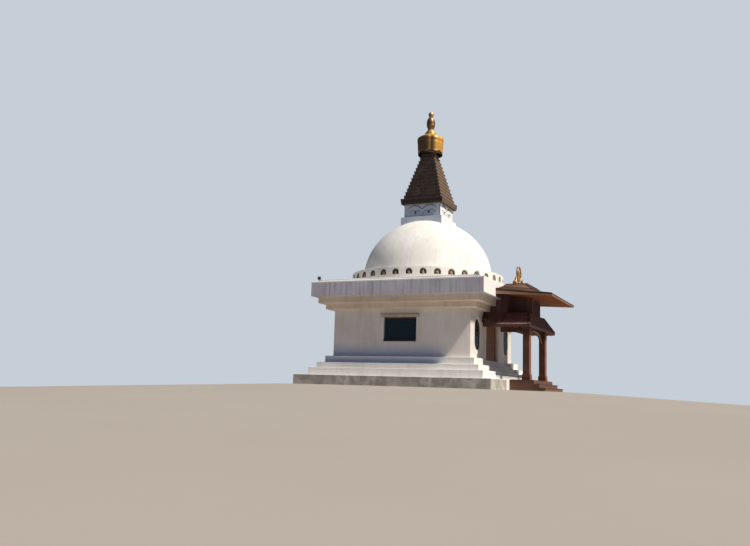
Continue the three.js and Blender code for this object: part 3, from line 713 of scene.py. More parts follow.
# Drum with its ring of arched lamp niches, a clay votive cone in each, and the smooth dome.
drumPlan = {
    "radius": 4.45,
    "low": 5.86,
    "top": 6.5,
    "sides": 288,
    "niches": 36,
    "nicheHalf": 0.185,
    "nicheLow": 6.06,
    "nicheSpring": 6.195,
    "nicheBack": 4.26,
    "nicheTurn": math.radians(2),
    "splay": 0.012,
    "rimEdge": 0.03,
    "domeAcross": 3.78,
    "domeRise": 3.56,
    "domeCentre": 6.33,
    "cone": [(0, 6.05), (0.1, 6.05), (0.105, 6.075), (0.09, 6.09), (0.09, 6.12), (0.074, 6.13),
             (0.08, 6.165), (0.072, 6.21), (0.048, 6.25), (0.022, 6.27), (0.027, 6.285), (0.015, 6.305),
             (0.016, 6.32), (0, 6.345)],
    "coneBack": 0.1,
}


def nicheOutline(d, grow=0):
    half = d.nicheHalf + grow
    low = d.nicheLow - grow
    return [(-half, low), (half, low), *arc((0, d.nicheSpring), half, 0, math.pi, 16)]


def addDrum(d):
    drum = rod((0, 0, (d.top + d.low) / 2), d.radius, d.top - d.low, d.sides)
    rounded(drum, d.rimEdge, lambda p: p.z > d.top - hair, 3)
    niche = plate([nicheOutline(d)], "y", -d.radius - 0.1, -d.nicheBack)
    turns = [turned(fullTurn * i / d.niches - d.nicheTurn) for i in range(d.niches)]
    carved(drum, [copied(niche, turn) for turn in turns])
    bpy.data.objects.remove(niche)
    rounded(drum, d.splay, lambda p: p.xy.length > d.radius - 0.02 and d.low + 0.01 < p.z < d.top - 0.05, 1)
    dress(smoothed(drum, 20), nicheWash, ("drum",), name="lampDrum")
    cone = smoothed(spun(d.cone, 14), 40)
    inward = Matrix.Translation((0, -d.nicheBack - d.coneBack, 0))
    cones = [copied(cone, turn @ inward) for turn in turns]
    bpy.data.objects.remove(cone)
    dress(joined(cones, "votiveCones"), clay)

    bpy.ops.mesh.primitive_uv_sphere_add(segments=128, ring_count=96, location=(0, 0, d.domeCentre),
                                         scale=(d.domeAcross, d.domeAcross, d.domeRise))
    dome = settled(bpy.context.object)
    openMesh(dome)
    bpy.ops.mesh.bisect(plane_co=(0, 0, d.top - 0.01), plane_no=(0, 0, 1), clear_inner=True, use_fill=True)
    closeMesh()
    dress(smoothed(dome, 30), whitewash, ("dome",), name="domeRender")
    print("drum and dome built")


# Boards: one sawn length is modelled, and each board is a copy fitted between four corners.
def sawnLength():
    bpy.ops.mesh.primitive_cube_add(size=2)
    made = bpy.context.object
    made.name = "sawnLength"
    made.data.attributes.new("tone", "FLOAT", "POINT")
    return made


sawn = sawnLength()


# Corners a and b are the low end, c and d the far end, and the rise is the thickness at each end.
def slat(a, b, c, d, lowRise, farRise=None):
    piece = sawn.copy()
    piece.data = sawn.data.copy()
    bpy.context.collection.objects.link(piece)
    a, b, c, d = (Vector(p) for p in (a, b, c, d))
    lowRise = Vector(lowRise)
    farRise = Vector(farRise) if farRise else lowRise
    wide, long = (b - a).length, (d - a).length
    startAcross, startAlong, tone = chance.random() * 9, chance.random() * 9, chance.random()
    mesh = piece.data
    flatPlaces = []
    for vertex in mesh.vertices:
        across, along, up = (value > 0 for value in vertex.co)
        corner = (c if across else d) if along else (b if across else a)
        rise = farRise if along else lowRise
        vertex.co = corner + (rise if up else Vector())
        flatPlaces.append((startAcross + wide * across, startAlong + long * along))
    for loop in mesh.loops:
        mesh.uv_layers.active.data[loop.index].uv = flatPlaces[loop.vertex_index]
    mesh.attributes["tone"].data.foreach_set("value", [tone] * len(mesh.vertices))
    if (b - a).cross(d - a).dot(lowRise) < 0:
        mesh.flip_normals()
    return piece


# Straight board between two corners, with its length along one axis.
def straight(low, high, along):
    size = [h - l for l, h in zip(low, high)]
    k = "xyz".index(along)
    i, j = sorted((n for n in range(3) if n != k), key=lambda n: -size[n])
    across, length, rise = Vector(), Vector(), Vector()
    across[i], length[k], rise[j] = size[i], size[k], size[j]
    a = Vector(low)
    return slat(a, a + across, a + across + length, a + length, rise)


# The same, between two distances from the entrance axis on one side of it.
def sideBoard(side, near, far, ys, zs, along="y"):
    x0, x1 = sorted((side * near, side * far))
    return straight((x0, ys[0], zs[0]), (x1, ys[1], zs[1]), along)


def boarded(parts, name, edge):
    return eased(joined(parts, name), edge)


# Spire: thirteen square steps clad in short shingles, each step with a thin cap, on a boarded slab.
spirePlan = {
    "steps": 13,
    "low": 11.08,
    "top": 14,
    "lowHalf": 1.16,
    "topHalf": 0.4,
    "shingleWide": 0.125,
    "butt": 0.016,
    "gap": 0.005,
    "jitter": 0.012,
    "capOut": 0.012,
    "capThick": 0.022,
    "slabHalf": 1.32,
    "slabLow": 10.75,
    "fascia": ((10.75, 10.85, 0.035), (10.856, 10.985, 0.015), (10.99, 11.08, 0)),
    "bracket": ((-0.045, -1.19, 10.675), (0.045, -1.115, 10.75), 0.006),
    "brackets": 11,
    "bracketStep": 0.21,
    "edge": 0.003,
}


def addSpire(p):
    def halfOf(i):
        return p.lowHalf + (p.topHalf - p.lowHalf) * i / (p.steps - 1)

    rise = (p.top - p.low) / p.steps
    quarter = [turned(math.pi / 2 * k) for k in range(4)]
    shingles, caps = [], []
    for i in range(p.steps):
        half, inner = halfOf(i), halfOf(min(i + 1, p.steps - 1))
        low = p.low + i * rise
        head = low + rise - p.capThick
        count = max(3, round(2 * half / p.shingleWide))
        wide = 2 * half / count
        for turn in quarter:
            for n in range(count):
                left, right = -half + n * wide + p.gap / 2, -half + (n + 1) * wide - p.gap / 2
                foot = low + chance.random() * p.jitter
                row = slat((left, -half, foot), (right, -half, foot), (right, -half, head),
                           (left, -half, head), (0, -p.butt, 0), (0, -p.butt / 3, 0))
                row.data.transform(turn)
                shingles.append(row)
            out = half + p.butt + p.capOut
            cap = slat((-out, -out, head), (out, -out, head), (inner, -inner + 0.01, head),
                       (-inner, -inner + 0.01, head), (0, 0, p.capThick))
            cap.data.transform(turn)
            caps.append(cap)
    core = takenOver("spire", "spireCore")
    dress(core, spireTimber, ("spire",))
    dress(boarded(shingles, "spireShingles", p.edge), spireTimber)
    dress(boarded(caps, "spireCaps", p.edge), capTimber)

    fascia = []
    for turn in quarter:
        for start, end, setBack in p.fascia:
            side = p.slabHalf - setBack
            strip = slat((-side, -side, start), (-side, -side, end), (side, -side, end), (side, -side, start),
                         (0, 0.05, 0))
            strip.data.transform(turn)
            fascia.append(strip)
    inside = p.slabHalf - 0.04
    fascia.append(straight((-inside, -inside, p.slabLow), (inside, inside, p.low - 0.004), "x"))
    dress(boarded(fascia, "spireSlab", 0.006), slabTimber, ("spire_slab",))
    tooth = block(*p.bracket)
    spots = [p.bracketStep * (k - (p.brackets - 1) / 2) for k in range(p.brackets)]
    teeth = [copied(tooth, turn @ Matrix.Translation((x, 0, 0))) for turn in quarter for x in spots]
    bpy.data.objects.remove(tooth)
    dress(joined(teeth, "slabBrackets"), hoodPaint)
    print("spire clad")


# Gilded finial: lobed crown with a scalloped skirt, lotus of two rows of petals, vase and jewel.
finialPlan = {
    "crown": [(0, 14), (0.36, 14), (0.36, 14.46), (0.7, 14.5), (0.712, 14.12), (0.725, 14.1),
              (0.745, 14.11), (0.755, 14.14), (0.747, 14.175), (0.753, 14.22), (0.76, 14.32), (0.769, 14.46),
              (0.778, 14.61), (0.786, 14.74), (0.779, 14.765), (0.788, 14.79), (0.8, 14.84), (0.806, 14.92),
              (0.8, 14.975), (0.78, 15.02), (0.74, 15.07), (0.665, 15.125), (0.58, 15.175), (0.47, 15.235),
              (0.375, 15.28), (0.35, 15.31), (0, 15.31)],
    "valance": [(0.675, 14.48), (0.706, 14.48), (0.712, 14.3), (0.724, 14.1), (0.735, 14.02), (0.735, 14),
                (0.722, 14), (0.705, 14.1), (0.69, 14.3), (0.675, 14.48)],
    "pleats": 40,
    "pleatDepth": 0.012,
    "lobes": 8,
    "lobeDepth": 0.028,
    "lobesFrom": 0.29,
    "skirtFrom": 0.6,
    "scallop": 0.12,
    "scallopLow": 14.1,
    "scallopReach": 0.32,
    "spinSteps": 96,
    "cup": [(0, 15.3), (0.335, 15.3), (0.352, 15.32), (0.345, 15.345), (0.315, 15.385), (0.265, 15.46),
            (0.222, 15.53), (0.195, 15.575), (0.205, 15.59), (0.195, 15.605), (0, 15.605)],
    "petals": 12,
    "petalRows": ((0.215, 15.565, 0.362, 15.365, 0.088), (0.2, 15.585, 0.285, 15.455, 0.07)),
    "vase": [(0, 15.59), (0.165, 15.6), (0.175, 15.62), (0.165, 15.64), (0.178, 15.67), (0.205, 15.73),
             (0.228, 15.79), (0.243, 15.845), (0.252, 15.86), (0.254, 15.885), (0.248, 15.9), (0.254, 15.96),
             (0.257, 16.04), (0.251, 16.12), (0.237, 16.2), (0.214, 16.265), (0.186, 16.325), (0.148, 16.375),
             (0.116, 16.4), (0.11, 16.415), (0.122, 16.43), (0.112, 16.448), (0, 16.45)],
    "jewel": [(0, 16.43), (0.09, 16.437), (0.12, 16.462), (0.143, 16.505), (0.154, 16.56), (0.155, 16.6),
              (0.146, 16.65), (0.125, 16.69), (0.095, 16.72), (0.06, 16.742), (0.025, 16.756), (0, 16.76)],
}


def addFinial(f):
    crown = spun(f.crown, f.spinSteps)
    for vertex in crown.data.vertices:
        out = vertex.co.xy.length
        if out > f.lobesFrom:
            lobe = abs(math.cos(f.lobes * math.atan2(vertex.co.y, vertex.co.x) / 2))
            share = min(1, (out - f.lobesFrom) / 0.12)
            grow = 1 + share * f.lobeDepth * (2 * lobe - 1)
            vertex.co.x *= grow
            vertex.co.y *= grow
            fall = 1 - (vertex.co.z - f.scallopLow) / f.scallopReach
            if fall > 0 and out > f.skirtFrom:
                vertex.co.z += f.scallop * (1 - lobe) * min(1, fall)
    dress(smoothed(crown, 32), crownGold, ("crown",), name="gildedCrown")
    valance = spun(f.valance, f.pleats * 6)
    for vertex in valance.data.vertices:
        grow = 1 + f.pleatDepth * math.cos(f.pleats * math.atan2(vertex.co.y, vertex.co.x))
        vertex.co.x *= grow
        vertex.co.y *= grow
    dress(smoothed(valance, 50), valancePaint, name="crownValance")

    cup = smoothed(spun(f.cup, 48), 40)
    petals = []
    for row, (lowOut, low, farOut, top, halfWide) in enumerate(f.petalRows):
        bpy.ops.mesh.primitive_grid_add(x_subdivisions=4, y_subdivisions=6, size=2)
        petal = bpy.context.object
        for vertex in petal.data.vertices:
            across, t = vertex.co.x, (vertex.co.y + 1) / 2
            curl = t ** 1.6
            out = lowOut + (farOut - lowOut) * curl + 0.02 * math.sin(math.pi * t) - 0.025 * across * across
            half = halfWide * (0.75 + 0.45 * t) * (1 - t ** 4) ** 0.5 + 0.004
            height = low + (top - low) * t - 0.02 * max(0, t - 0.8) * 5 - 0.01 * across * across
            vertex.co = (across * half, -out, height)
        shaped(petal, "SOLIDIFY", thickness=0.014, offset=0)
        shaped(petal, "SUBSURF", levels=1, render_levels=1)
        petals += [copied(petal, turned(fullTurn * (k + row / 2) / f.petals)) for k in range(f.petals)]
        bpy.data.objects.remove(petal)
    lotus = joined([cup, *petals], "gildedLotus")
    openMesh(lotus)
    bpy.ops.mesh.normals_make_consistent(inside=False)
    closeMesh()
    dress(smoothed(lotus, 40), gold, ("lotus",))
    dress(smoothed(spun(f.vase, 56), 40), bronze, ("vase",), name="gildedVase")
    dress(smoothed(spun(f.jewel, 40), 40), gold, ("jewel",), name="gildedJewel")
    print("finial turned")


# Painted eyes, brows and curled nose on each side of the harmika, as thin coats of paint.
paintPlan = {
    "face": 1.12,
    "coat": 0.003,
    "brow": ([(0.01, 10.42), (0.16, 10.55), (0.44, 10.66), (0.7, 10.61), (0.9, 10.48)],
             [0.03, 0.055, 0.07, 0.055, 0.015]),
    "lid": ([(0.07, 10.17), (0.18, 10.335), (0.38, 10.3), (0.62, 10.375), (0.84, 10.25)],
            [0.02, 0.045, 0.05, 0.045, 0.012]),
    "lowerLid": ([(0.09, 10.19), (0.26, 10.175), (0.46, 10.16), (0.68, 10.205), (0.84, 10.3)],
                 [0.008, 0.016, 0.018, 0.016, 0.006]),
    "nose": ([(-0.035, 10.175), (0.03, 10.2), (0.07, 10.155), (0.045, 10.1), (0, 10.075), (-0.03, 10.05),
              (-0.005, 10.03), (0.03, 10.045)], [0.008, 0.016, 0.02, 0.02, 0.018, 0.016, 0.014, 0.006]),
    "pupil": ((0.42, 10.235), 0.068),
    "urna": ((0, 10.45), 0.035),
    "bottomBand": 0.06,
    "sideBand": 0.05,
    "low": 9.965,
    "top": 10.745,
}


# Outline of a brush stroke that swells and tapers.
def brushStroke(points, widths):
    line = flowing(points, 8)
    swell = flowing([(w, 0) for w in widths], 8)
    left, right = [], []
    for i, here in enumerate(line):
        ahead = line[min(i + 1, len(line) - 1)] - line[max(i - 1, 0)]
        side = Vector((-ahead.y, ahead.x)).normalized() * swell[i].x / 2
        left.append(tuple(here + side))
        right.append(tuple(here - side))
    return left + right[::-1]


def addPaint(p):
    strokes, pupils, bands = [], [], []
    low, top = -p.face - p.coat, -p.face + p.coat
    for side in (1, -1):
        for points, widths in (p.brow, p.lid, p.lowerLid):
            stroke = brushStroke([(side * x, z) for x, z in points], widths)
            strokes.append(plate([stroke], "y", low, top))
        disc = arc(*p.pupil, 0, fullTurn, 24)[:-1]
        pupils.append(plate([[(side * x, z) for x, z in disc]], "y", low - hair, top))
    strokes.append(plate([brushStroke(*p.nose)], "y", low, top))
    pupils.append(plate([arc(*p.urna, 0, fullTurn, 20)[:-1]], "y", low, top))
    face, side = p.face, p.sideBand
    bands.append(plate([ring((-face, p.low), (face, p.low + p.bottomBand))], "y", low, top))
    for start in (-face, face - side):
        bands.append(plate([ring((start, p.low + p.bottomBand), (start + side, p.top))], "y", low, top))
    for parts, name, paint in ((strokes, "eyeStrokes", eyeLine), (pupils, "eyePupils", eyePupil),
                               (bands, "eyeBorder", eyeBorder)):
        one = joined(parts, name + "Front")
        around = [one] + [copied(one, turned(math.pi / 2 * k)) for k in (1, 2, 3)]
        dress(joined(around, name), paint)
    print("eyes painted")


# Laid boards: rows up a roof face between its eave and its top, cut at the hips.
def laid(face, rows, wide, butt=0.013, gap=0.006, jitter=0.014, lap=0.22):
    lowStart, lowEnd, topEnd, topStart = (Vector(p) for p in face)
    along = (lowEnd - lowStart).normalized()
    upward = along.cross(topStart - lowStart).normalized()
    upward *= 1 if upward.z > 0 else -1

    def place(x, t):
        left, right = lowStart.lerp(topStart, t), lowEnd.lerp(topEnd, t)
        start, end = (left - lowStart).dot(along), (right - lowStart).dot(along)
        return left.lerp(right, min(1, max(0, (x - start) / (end - start))))

    parts = []
    for row in range(rows):
        low, top = row / rows, min(1, (row + 1 + lap) / rows)
        left, right = lowStart.lerp(topStart, low), lowEnd.lerp(topEnd, low)
        start, reach = (left - lowStart).dot(along), (right - left).length
        count = max(2, round(reach / wide))
        step = reach / count
        offset = step / 2 if row % 2 else 0
        for n in range(count + (1 if offset else 0)):
            x0 = max(start, start + n * step - offset) + gap / 2
            x1 = min(start + reach, start + (n + 1) * step - offset) - gap / 2
            if x1 - x0 < 0.03:
                continue
            dip = chance.random() * jitter / (topStart - lowStart).length
            lift = upward * butt
            a, b = place(x0, max(0, low - dip)) + lift, place(x1, max(0, low - dip)) + lift
            c, d = place(x1, top), place(x0, top)
            if (c - d).length < 0.008:
                c = d + along * 0.008
            parts.append(slat(a, b, c, d, upward * butt, upward * butt * 0.45))
    return parts


# Cap board over a hip, between two of its points.
def hipCap(low, top, half, thick, lift):
    low, top = Vector(low), Vector(top)
    side = (top - low).cross(Vector((0, 0, 1))).normalized() * half
    up = Vector((0, 0, lift))
    return slat(low - side + up, low + side + up, top + side + up, top - side + up, (0, 0, thick))


# Lined edge: a board between two points, hanging from a top line.
def edging(start, end, startTall, endTall, outward):
    start, end = Vector(start), Vector(end)
    startFoot, endFoot = start - Vector((0, 0, startTall)), end - Vector((0, 0, endTall))
    return slat(start, startFoot, endFoot, end, outward)


# Landing of boards on bearers, with its two steps.
deckPlan = {
    "half": 2.2,
    "front": -6.9,
    "back": -5.59,
    "top": 0.58,
    "board": 0.145,
    "thick": 0.028,
    "gap": 0.006,
    "clad": 0.024,
    "rows": 4,
    "stepGo": 0.3,
    "nosing": 0.018,
    "joists": 8,
    "joistWide": 0.06,
    "joistTall": 0.14,
    "edge": 0.003,
}


def addDeck(p):
    half, front, back, top, clad = p.half, p.front, p.back, p.top, p.clad
    parts = []
    count = round((back - front) / p.board)
    step = (back - front) / count
    for n in range(count):
        y = front + n * step
        seam = 0.5 * (n % 2)
        for x0, x1 in ((-half, seam - 0.02), (seam - 0.014, half)):
            parts.append(straight((x0, y, top - p.thick), (x1, y + step - p.gap, top), "x"))
    low = top - p.thick - 0.002
    tall = low / p.rows
    for n in range(p.rows):
        z0, z1 = n * tall, (n + 1) * tall - 0.005
        parts.append(straight((-half + 0.002, front + 0.002, z0), (half - 0.002, front + clad, z1), "x"))
        for side in (-1, 1):
            parts.append(sideBoard(side, half - 0.002, half - clad, (front + clad + 0.002, back), (z0, z1)))
    deck = boarded(parts, "landingBoards", p.edge)
    dress(deck, deckTimber, ("porch_landing",))
    joists = []
    for n in range(p.joists + 1):
        inside = half - clad - 0.002
        x = -inside + n * (2 * inside - p.joistWide) / p.joists
        far = x + p.joistWide
        joists.append(straight((x, front + clad + 0.002, low - p.joistTall), (far, back, low - hair), "y"))
        for y in (front + clad + 0.004, back - p.joistWide - 0.002):
            joists.append(straight((x, y, 0), (far, y + p.joistWide, low - p.joistTall - 0.002), "z"))
    dress(boarded(joists, "landingJoists", p.edge), deckTimber)

    steps = []
    rise = top / 3
    for n in (1, 2):
        y1, z = front - (n - 1) * p.stepGo, top - n * rise
        y0 = y1 - p.stepGo
        middle = (y0 + y1) / 2
        for a, b in ((y0, middle - 0.003), (middle + 0.003, y1 - 0.002)):
            steps.append(straight((-half, a, z - 0.034), (half, b, z), "x"))
        riser = y0 + p.nosing
        steps.append(straight((-half + 0.012, riser, 0), (half - 0.012, riser + 0.02, z - 0.036), "x"))
        for side in (-1, 1):
            steps.append(sideBoard(side, half - 0.012, half - 0.05, (riser + 0.021, y1 - 0.002),
                                   (0, z - 0.036)))
    dress(boarded(steps, "landingSteps", p.edge), deckTimber, ("landing_steps",))
    print("landing boarded")


# Porch posts, beams and the arched board between the posts.
framePlan = {
    "postX": 1.83,
    "postY": -6.43,
    "half": 0.186,
    "low": 0.58,
    "top": 3.4,
    "chamfer": 0.026,
    "baseHalf": 0.225,
    "baseTall": 0.26,
    "capHalf": (0.215, 0.25),
    "capTall": (0.09, 0.075),
    "archInner": 1.64,
    "archFoot": 2.7,
    "archCrown": 3.25,
    "archFront": -6.4,
    "archBack": -6.28,
    "archSteps": 40,
    "bead": 0.045,
    "beams": (("x", (-1.9, -6.44, 3.4), (1.9, -6.24, 3.64)), ("y", (-1.9, -6.238, 3.4), (-1.66, -4, 3.64)),
              ("y", (1.66, -6.238, 3.4), (1.9, -4, 3.64))),
    "beamEdge": 0.014,
}


def addPorchFrame(p):
    x, y, half = p.postX, p.postY, p.half
    baseTop, z = p.low + p.baseTall, p.top - sum(p.capTall)
    layers = [
        (half, p.low + 0.02, p.top - 0.01, p.chamfer, 1),
        (p.baseHalf, p.low, baseTop, 0.02, 2),
        (p.baseHalf - 0.012, baseTop - 0.005, baseTop + 0.05, 0.022, 3),
        (half + 0.014, z - 0.14, z - 0.1, 0.014, 2),
    ]
    for wide, tall in zip(p.capHalf, p.capTall):
        layers.append((wide, z, z + tall, 0.016, 2))
        z += tall
    for side, word in ((-1, "left"), (1, "right")):
        parts = [block((side * x - wide, y - wide, low), (side * x + wide, y + wide, top), edge, segments)
                 for wide, low, top, edge, segments in layers]
        dress(joined(parts, word + "Post"), postTimber, ("porch_post_" + word,))
    beams = [straight(low, high, along) for along, low, high in p.beams]
    dress(boarded(beams, "porchBeams", p.beamEdge), beamTimber, ("porch_beams",))

    inner, rise = p.archInner, p.archCrown - p.archFoot
    sweep = [math.pi - math.pi * i / p.archSteps for i in range(p.archSteps + 1)]

    def archLine(grow):
        return [((inner - grow) * math.cos(a), p.archFoot + (rise - grow) * math.sin(a)) for a in sweep]

    board = plate([[(-inner, p.top), *archLine(0), (inner, p.top)]], "y", p.archFront, p.archBack, 0.008)
    dress(board, archTimber, ("porch_arch",), name="archBoard")
    bead = archLine(0) + archLine(-p.bead)[::-1]
    trim = plate([bead], "y", p.archFront - 0.016, p.archFront + 0.004, 0.005)
    dress(trim, trimPaint, name="archBead")
    print("porch frame raised")


# Underside of the upper roof, which rises from its front eave to its back.
soffitLine = {"front": (-8, 4.9), "back": (-5.02, 5.17)}


def soffitAt(y):
    (front, low), (back, top) = soffitLine["front"], soffitLine["back"]
    return low + (top - low) * (y - front) / (back - front)


# Boarded upper storey: upright boards with battens over their joints, on the side, return and front faces.
storeyPlan = {
    "half": 1.75,
    "noseHalf": 0.9,
    "front": -6.47,
    "noseBack": -5.3,
    "rear": -5.022,
    "skirtTop": 4.15,
    "board": 0.142,
    "thick": 0.014,
    "batten": 0.034,
    "friezeThick": 0.045,
    "friezeTall": 0.11,
    "corniceGaps": ((4.01, 4.15, 4.212), (4.42, 4.215, 4.52), (4.74, 4.522, 4.88)),
    "edge": 0.002,
}


# Boards and battens on one upright face, from start to end in plan.
def cladding(p, start, end, low, outward, top=None):
    start, end, outward = Vector((*start, 0)), Vector((*end, 0)), Vector((*outward, 0))
    count = max(2, round((end - start).length / p.board))
    parts = []
    for n in range(count + 1):
        middle = start.lerp(end, min(0.995, max(0.005, n / count)))
        along = (end - start).normalized() * p.batten / 2
        rows = [(middle - along, middle + along, p.thick)]
        if n < count:
            rows.insert(0, (start.lerp(end, n / count), start.lerp(end, (n + 1) / count), 0))
        for a, b, out in rows:
            tops = [top or soffitAt(spot.y) for spot in (a, b)]
            corners = [(spot.x, spot.y, z) for spot, z in ((a, low), (b, low), (b, tops[1]), (a, tops[0]))]
            parts.append(slat(*(Vector(c) + outward * out for c in corners), outward * p.thick))
    return parts


def addStorey(p):
    core = takenOver("porch_upper_walls", "storeyFrame")
    dress(core, coreTimber, ("porch_upper_walls",))
    parts = []
    for side in (-1, 1):
        wide, nose = side * p.half, side * p.noseHalf
        parts += cladding(p, (wide, p.noseBack), (wide, p.rear), p.skirtTop, (side, 0))
        parts += cladding(p, (nose, p.front), (nose, p.noseBack - 0.03), p.skirtTop, (side, 0))
        parts += cladding(p, (nose + side * 0.035, p.noseBack), (wide, p.noseBack), p.skirtTop, (0, -1))
    parts += cladding(p, (-p.noseHalf, p.front), (p.noseHalf, p.front), p.skirtTop, (0, -1))
    for side in (-1, 1):
        wide = side * p.half
        for out, low, top in p.corniceGaps:
            parts += cladding(p, (wide, p.rear), (wide, -out), low, (side, 0), top)
    corners = []
    for side in (-1, 1):
        for out, y in ((p.noseHalf, p.front), (p.half, p.noseBack)):
            x0, x1 = sorted((side * (out - 0.05), side * (out + 0.03)))
            corners.append(block((x0, y - 0.03, p.skirtTop), (x1, y + 0.05, soffitAt(y)), 0.006))
    frieze = []
    front, back, tall = p.front - p.friezeThick, p.noseBack, p.friezeTall
    za, zb = soffitAt(p.front), soffitAt(back)
    for side in (-1, 1):
        x0, x1 = sorted((side * p.noseHalf, side * (p.noseHalf + p.friezeThick)))
        frieze.append(slat((x0, front, za), (x0, front, za - tall), (x0, back, zb - tall), (x0, back, zb),
                           (x1 - x0, 0, 0)))
    frieze.append(straight((-p.noseHalf, front, za - tall - 0.01), (p.noseHalf, p.front, za - 0.004), "x"))
    dress(boarded(parts, "storeyBoards", p.edge), wallTimber)
    dress(joined(corners, "storeyCorners"), postTimber)
    dress(boarded(frieze, "storeyFrieze", 0.006), beamTimber)
    print("storey clad")


# Lower roof: maroon boards up each slope of the skirt, on rafters, with capped hips and edge boards.
skirtPlan = {
    "eave": (3, -6.85, 3.4),
    "rear": (3, -5.29, 3.4),
    "wall": (2.03, -4, 3.75),
    "topX": 1.75,
    "topFront": -6.47,
    "topRear": -5.29,
    "top": 4.15,
    "thick": 0.11,
    "rows": 6,
    "board": 0.15,
    "rafters": 7,
    "rafterWide": 0.06,
    "rafterTall": 0.09,
    "rafterFoot": (2.93, 3.442),               # from the axis and above the ground
    "rafterPitch": 0.6,
    "rafterReach": 1.76,
    "edgeTall": 0.13,
    "edgeThick": 0.03,
    "settle": 0.012,                           # how far the deck sinks and the edge boards rise
    "hipCap": (0.07, 0.022, 0.018),            # half width, thickness and lift
    "rearCap": (0.06, 0.02, 0.016),
    "deckBoards": 5,
    "deckFrom": 0.918,
    "deckStep": 0.155,
    "edge": 0.003,
}


def addSkirt(p):
    def mirrored(point, side):
        return (point[0] * side, point[1], point[2])

    core = takenOver("lower_roof", "skirtRoofDeck")
    for vertex in core.data.vertices:
        vertex.co.z -= p.settle if vertex.co.z > 3.3 else 0
    dress(core, deckUnderside, ("lower_roof",))
    boards, caps, edges, rafters = [], [], [], []
    up = Vector((0, 0, p.settle))
    for side in (-1, 1):
        eave, rear, wall = (mirrored(spot, side) for spot in (p.eave, p.rear, p.wall))
        topFront, topRear = (side * p.topX, p.topFront, p.top), (side * p.topX, p.topRear, p.top)
        topWall = (side * p.topX, wall[1], p.top)
        boards += laid((rear, eave, topFront, topRear), p.rows, p.board)
        boards += laid((wall, rear, topRear, topWall), p.rows, p.board)
        caps.append(hipCap(eave, topFront, *p.hipCap))
        caps.append(hipCap(rear, topRear, *p.rearCap))
        for start, end in ((eave, rear), (rear, wall)):
            out = Vector((start[1] - end[1], end[0] - start[0], 0)).normalized() * p.edgeThick
            out *= 1 if out.x * side > 0 else -1
            edges.append(edging(Vector(start) + up, Vector(end) + up, p.edgeTall, p.edgeTall, out))
        far, height = p.rafterFoot
        for n in range(p.rafters):
            y = rear[1] + (eave[1] + 0.1 - rear[1]) * (n + 0.5) / p.rafters
            y0, y1 = y - p.rafterWide / 2, y + p.rafterWide / 2
            hip = p.eave[0] + (p.topX - p.eave[0]) * (y0 - eave[1]) / (p.topFront - eave[1])
            reach = max(p.rafterReach, hip)            # the last one stops under the hip
            x0, x1 = side * far, side * reach
            z0, z1 = (height + p.rafterPitch * (far - x) - p.thick for x in (far, reach))
            rafters.append(slat((x0, y0, z0), (x0, y1, z0), (x1, y1, z1), (x1, y0, z1),
                                (0, 0, -p.rafterTall)))
    left, right = mirrored(p.eave, -1), p.eave
    topLeft, topRight = (-p.topX, p.topFront, p.top), (p.topX, p.topFront, p.top)
    boards += laid((left, right, topRight, topLeft), p.rows, p.board)
    edges.append(edging(Vector(left) + up, Vector(right) + up, p.edgeTall, p.edgeTall, (0, -p.edgeThick, 0)))
    deck = [straight((-p.topX, p.topFront, p.top), (p.topX, p.topFront + 0.05, p.top + 0.03), "x")]
    deckLong = (p.topFront + 0.052, p.topRear - 0.03)
    for side in (-1, 1):
        deck.append(sideBoard(side, p.topX - 0.05, p.topX, deckLong, (p.top, p.top + 0.03)))
        for n in range(p.deckBoards):
            near = p.deckFrom + n * p.deckStep
            deck.append(sideBoard(side, near, near + p.deckStep - 0.005, deckLong, (p.top, p.top + 0.014)))
    dress(boarded(boards, "skirtBoards", p.edge), skirtTimber)
    dress(boarded(caps + edges + deck, "skirtCaps", 0.004), skirtEdge)
    dress(boarded(rafters, "skirtRafters", 0.006), soffitTimber)
    print("lower roof laid")


# Upper roof: shingles on a bell-cast hip, capped hips and ridge, a dark drip board, and an oiled underside.
roofPlan = {
    "rings": [(2.95, -8, 5, 5.34), (2.3, -7.25, 5.16, 5.45), (1.6, -6.65, 5.44, 5.62), (1, -6.2, 5.8, 5.8)],
    "back": -5.02,
    "rows": (5, 5, 4),
    "shingle": 0.15,
    "inset": 0.034,
    "lift": 0.018,
    "sink": (0.006, 0.032),                    # at the eave, and inside it to keep a bent slope covered
    "ridgeBoards": 8,
    "ridgeStep": 0.148,
    "soffitBoard": 0.155,
    "soffitThick": 0.016,
    "ledgerInner": 1.77,
    "ledgerLow": 4.89,
    "ledgerThick": 0.03,
    "capStart": 0.1,
    "hipCap": (0.075, 0.024, 0.02),            # half width, thickness and lift
    "ridgeCap": (0.008, 0.038),                # its underside and top over the ridge
    "overDeck": 0.014,
    "dripThick": 0.03,
    "fasciaThick": 0.024,
    "setIn": 0.008,
    "drip": (0.055, 0.13),
    "fasciaDrop": (0, 0.12),
    "edge": 0.003,
}


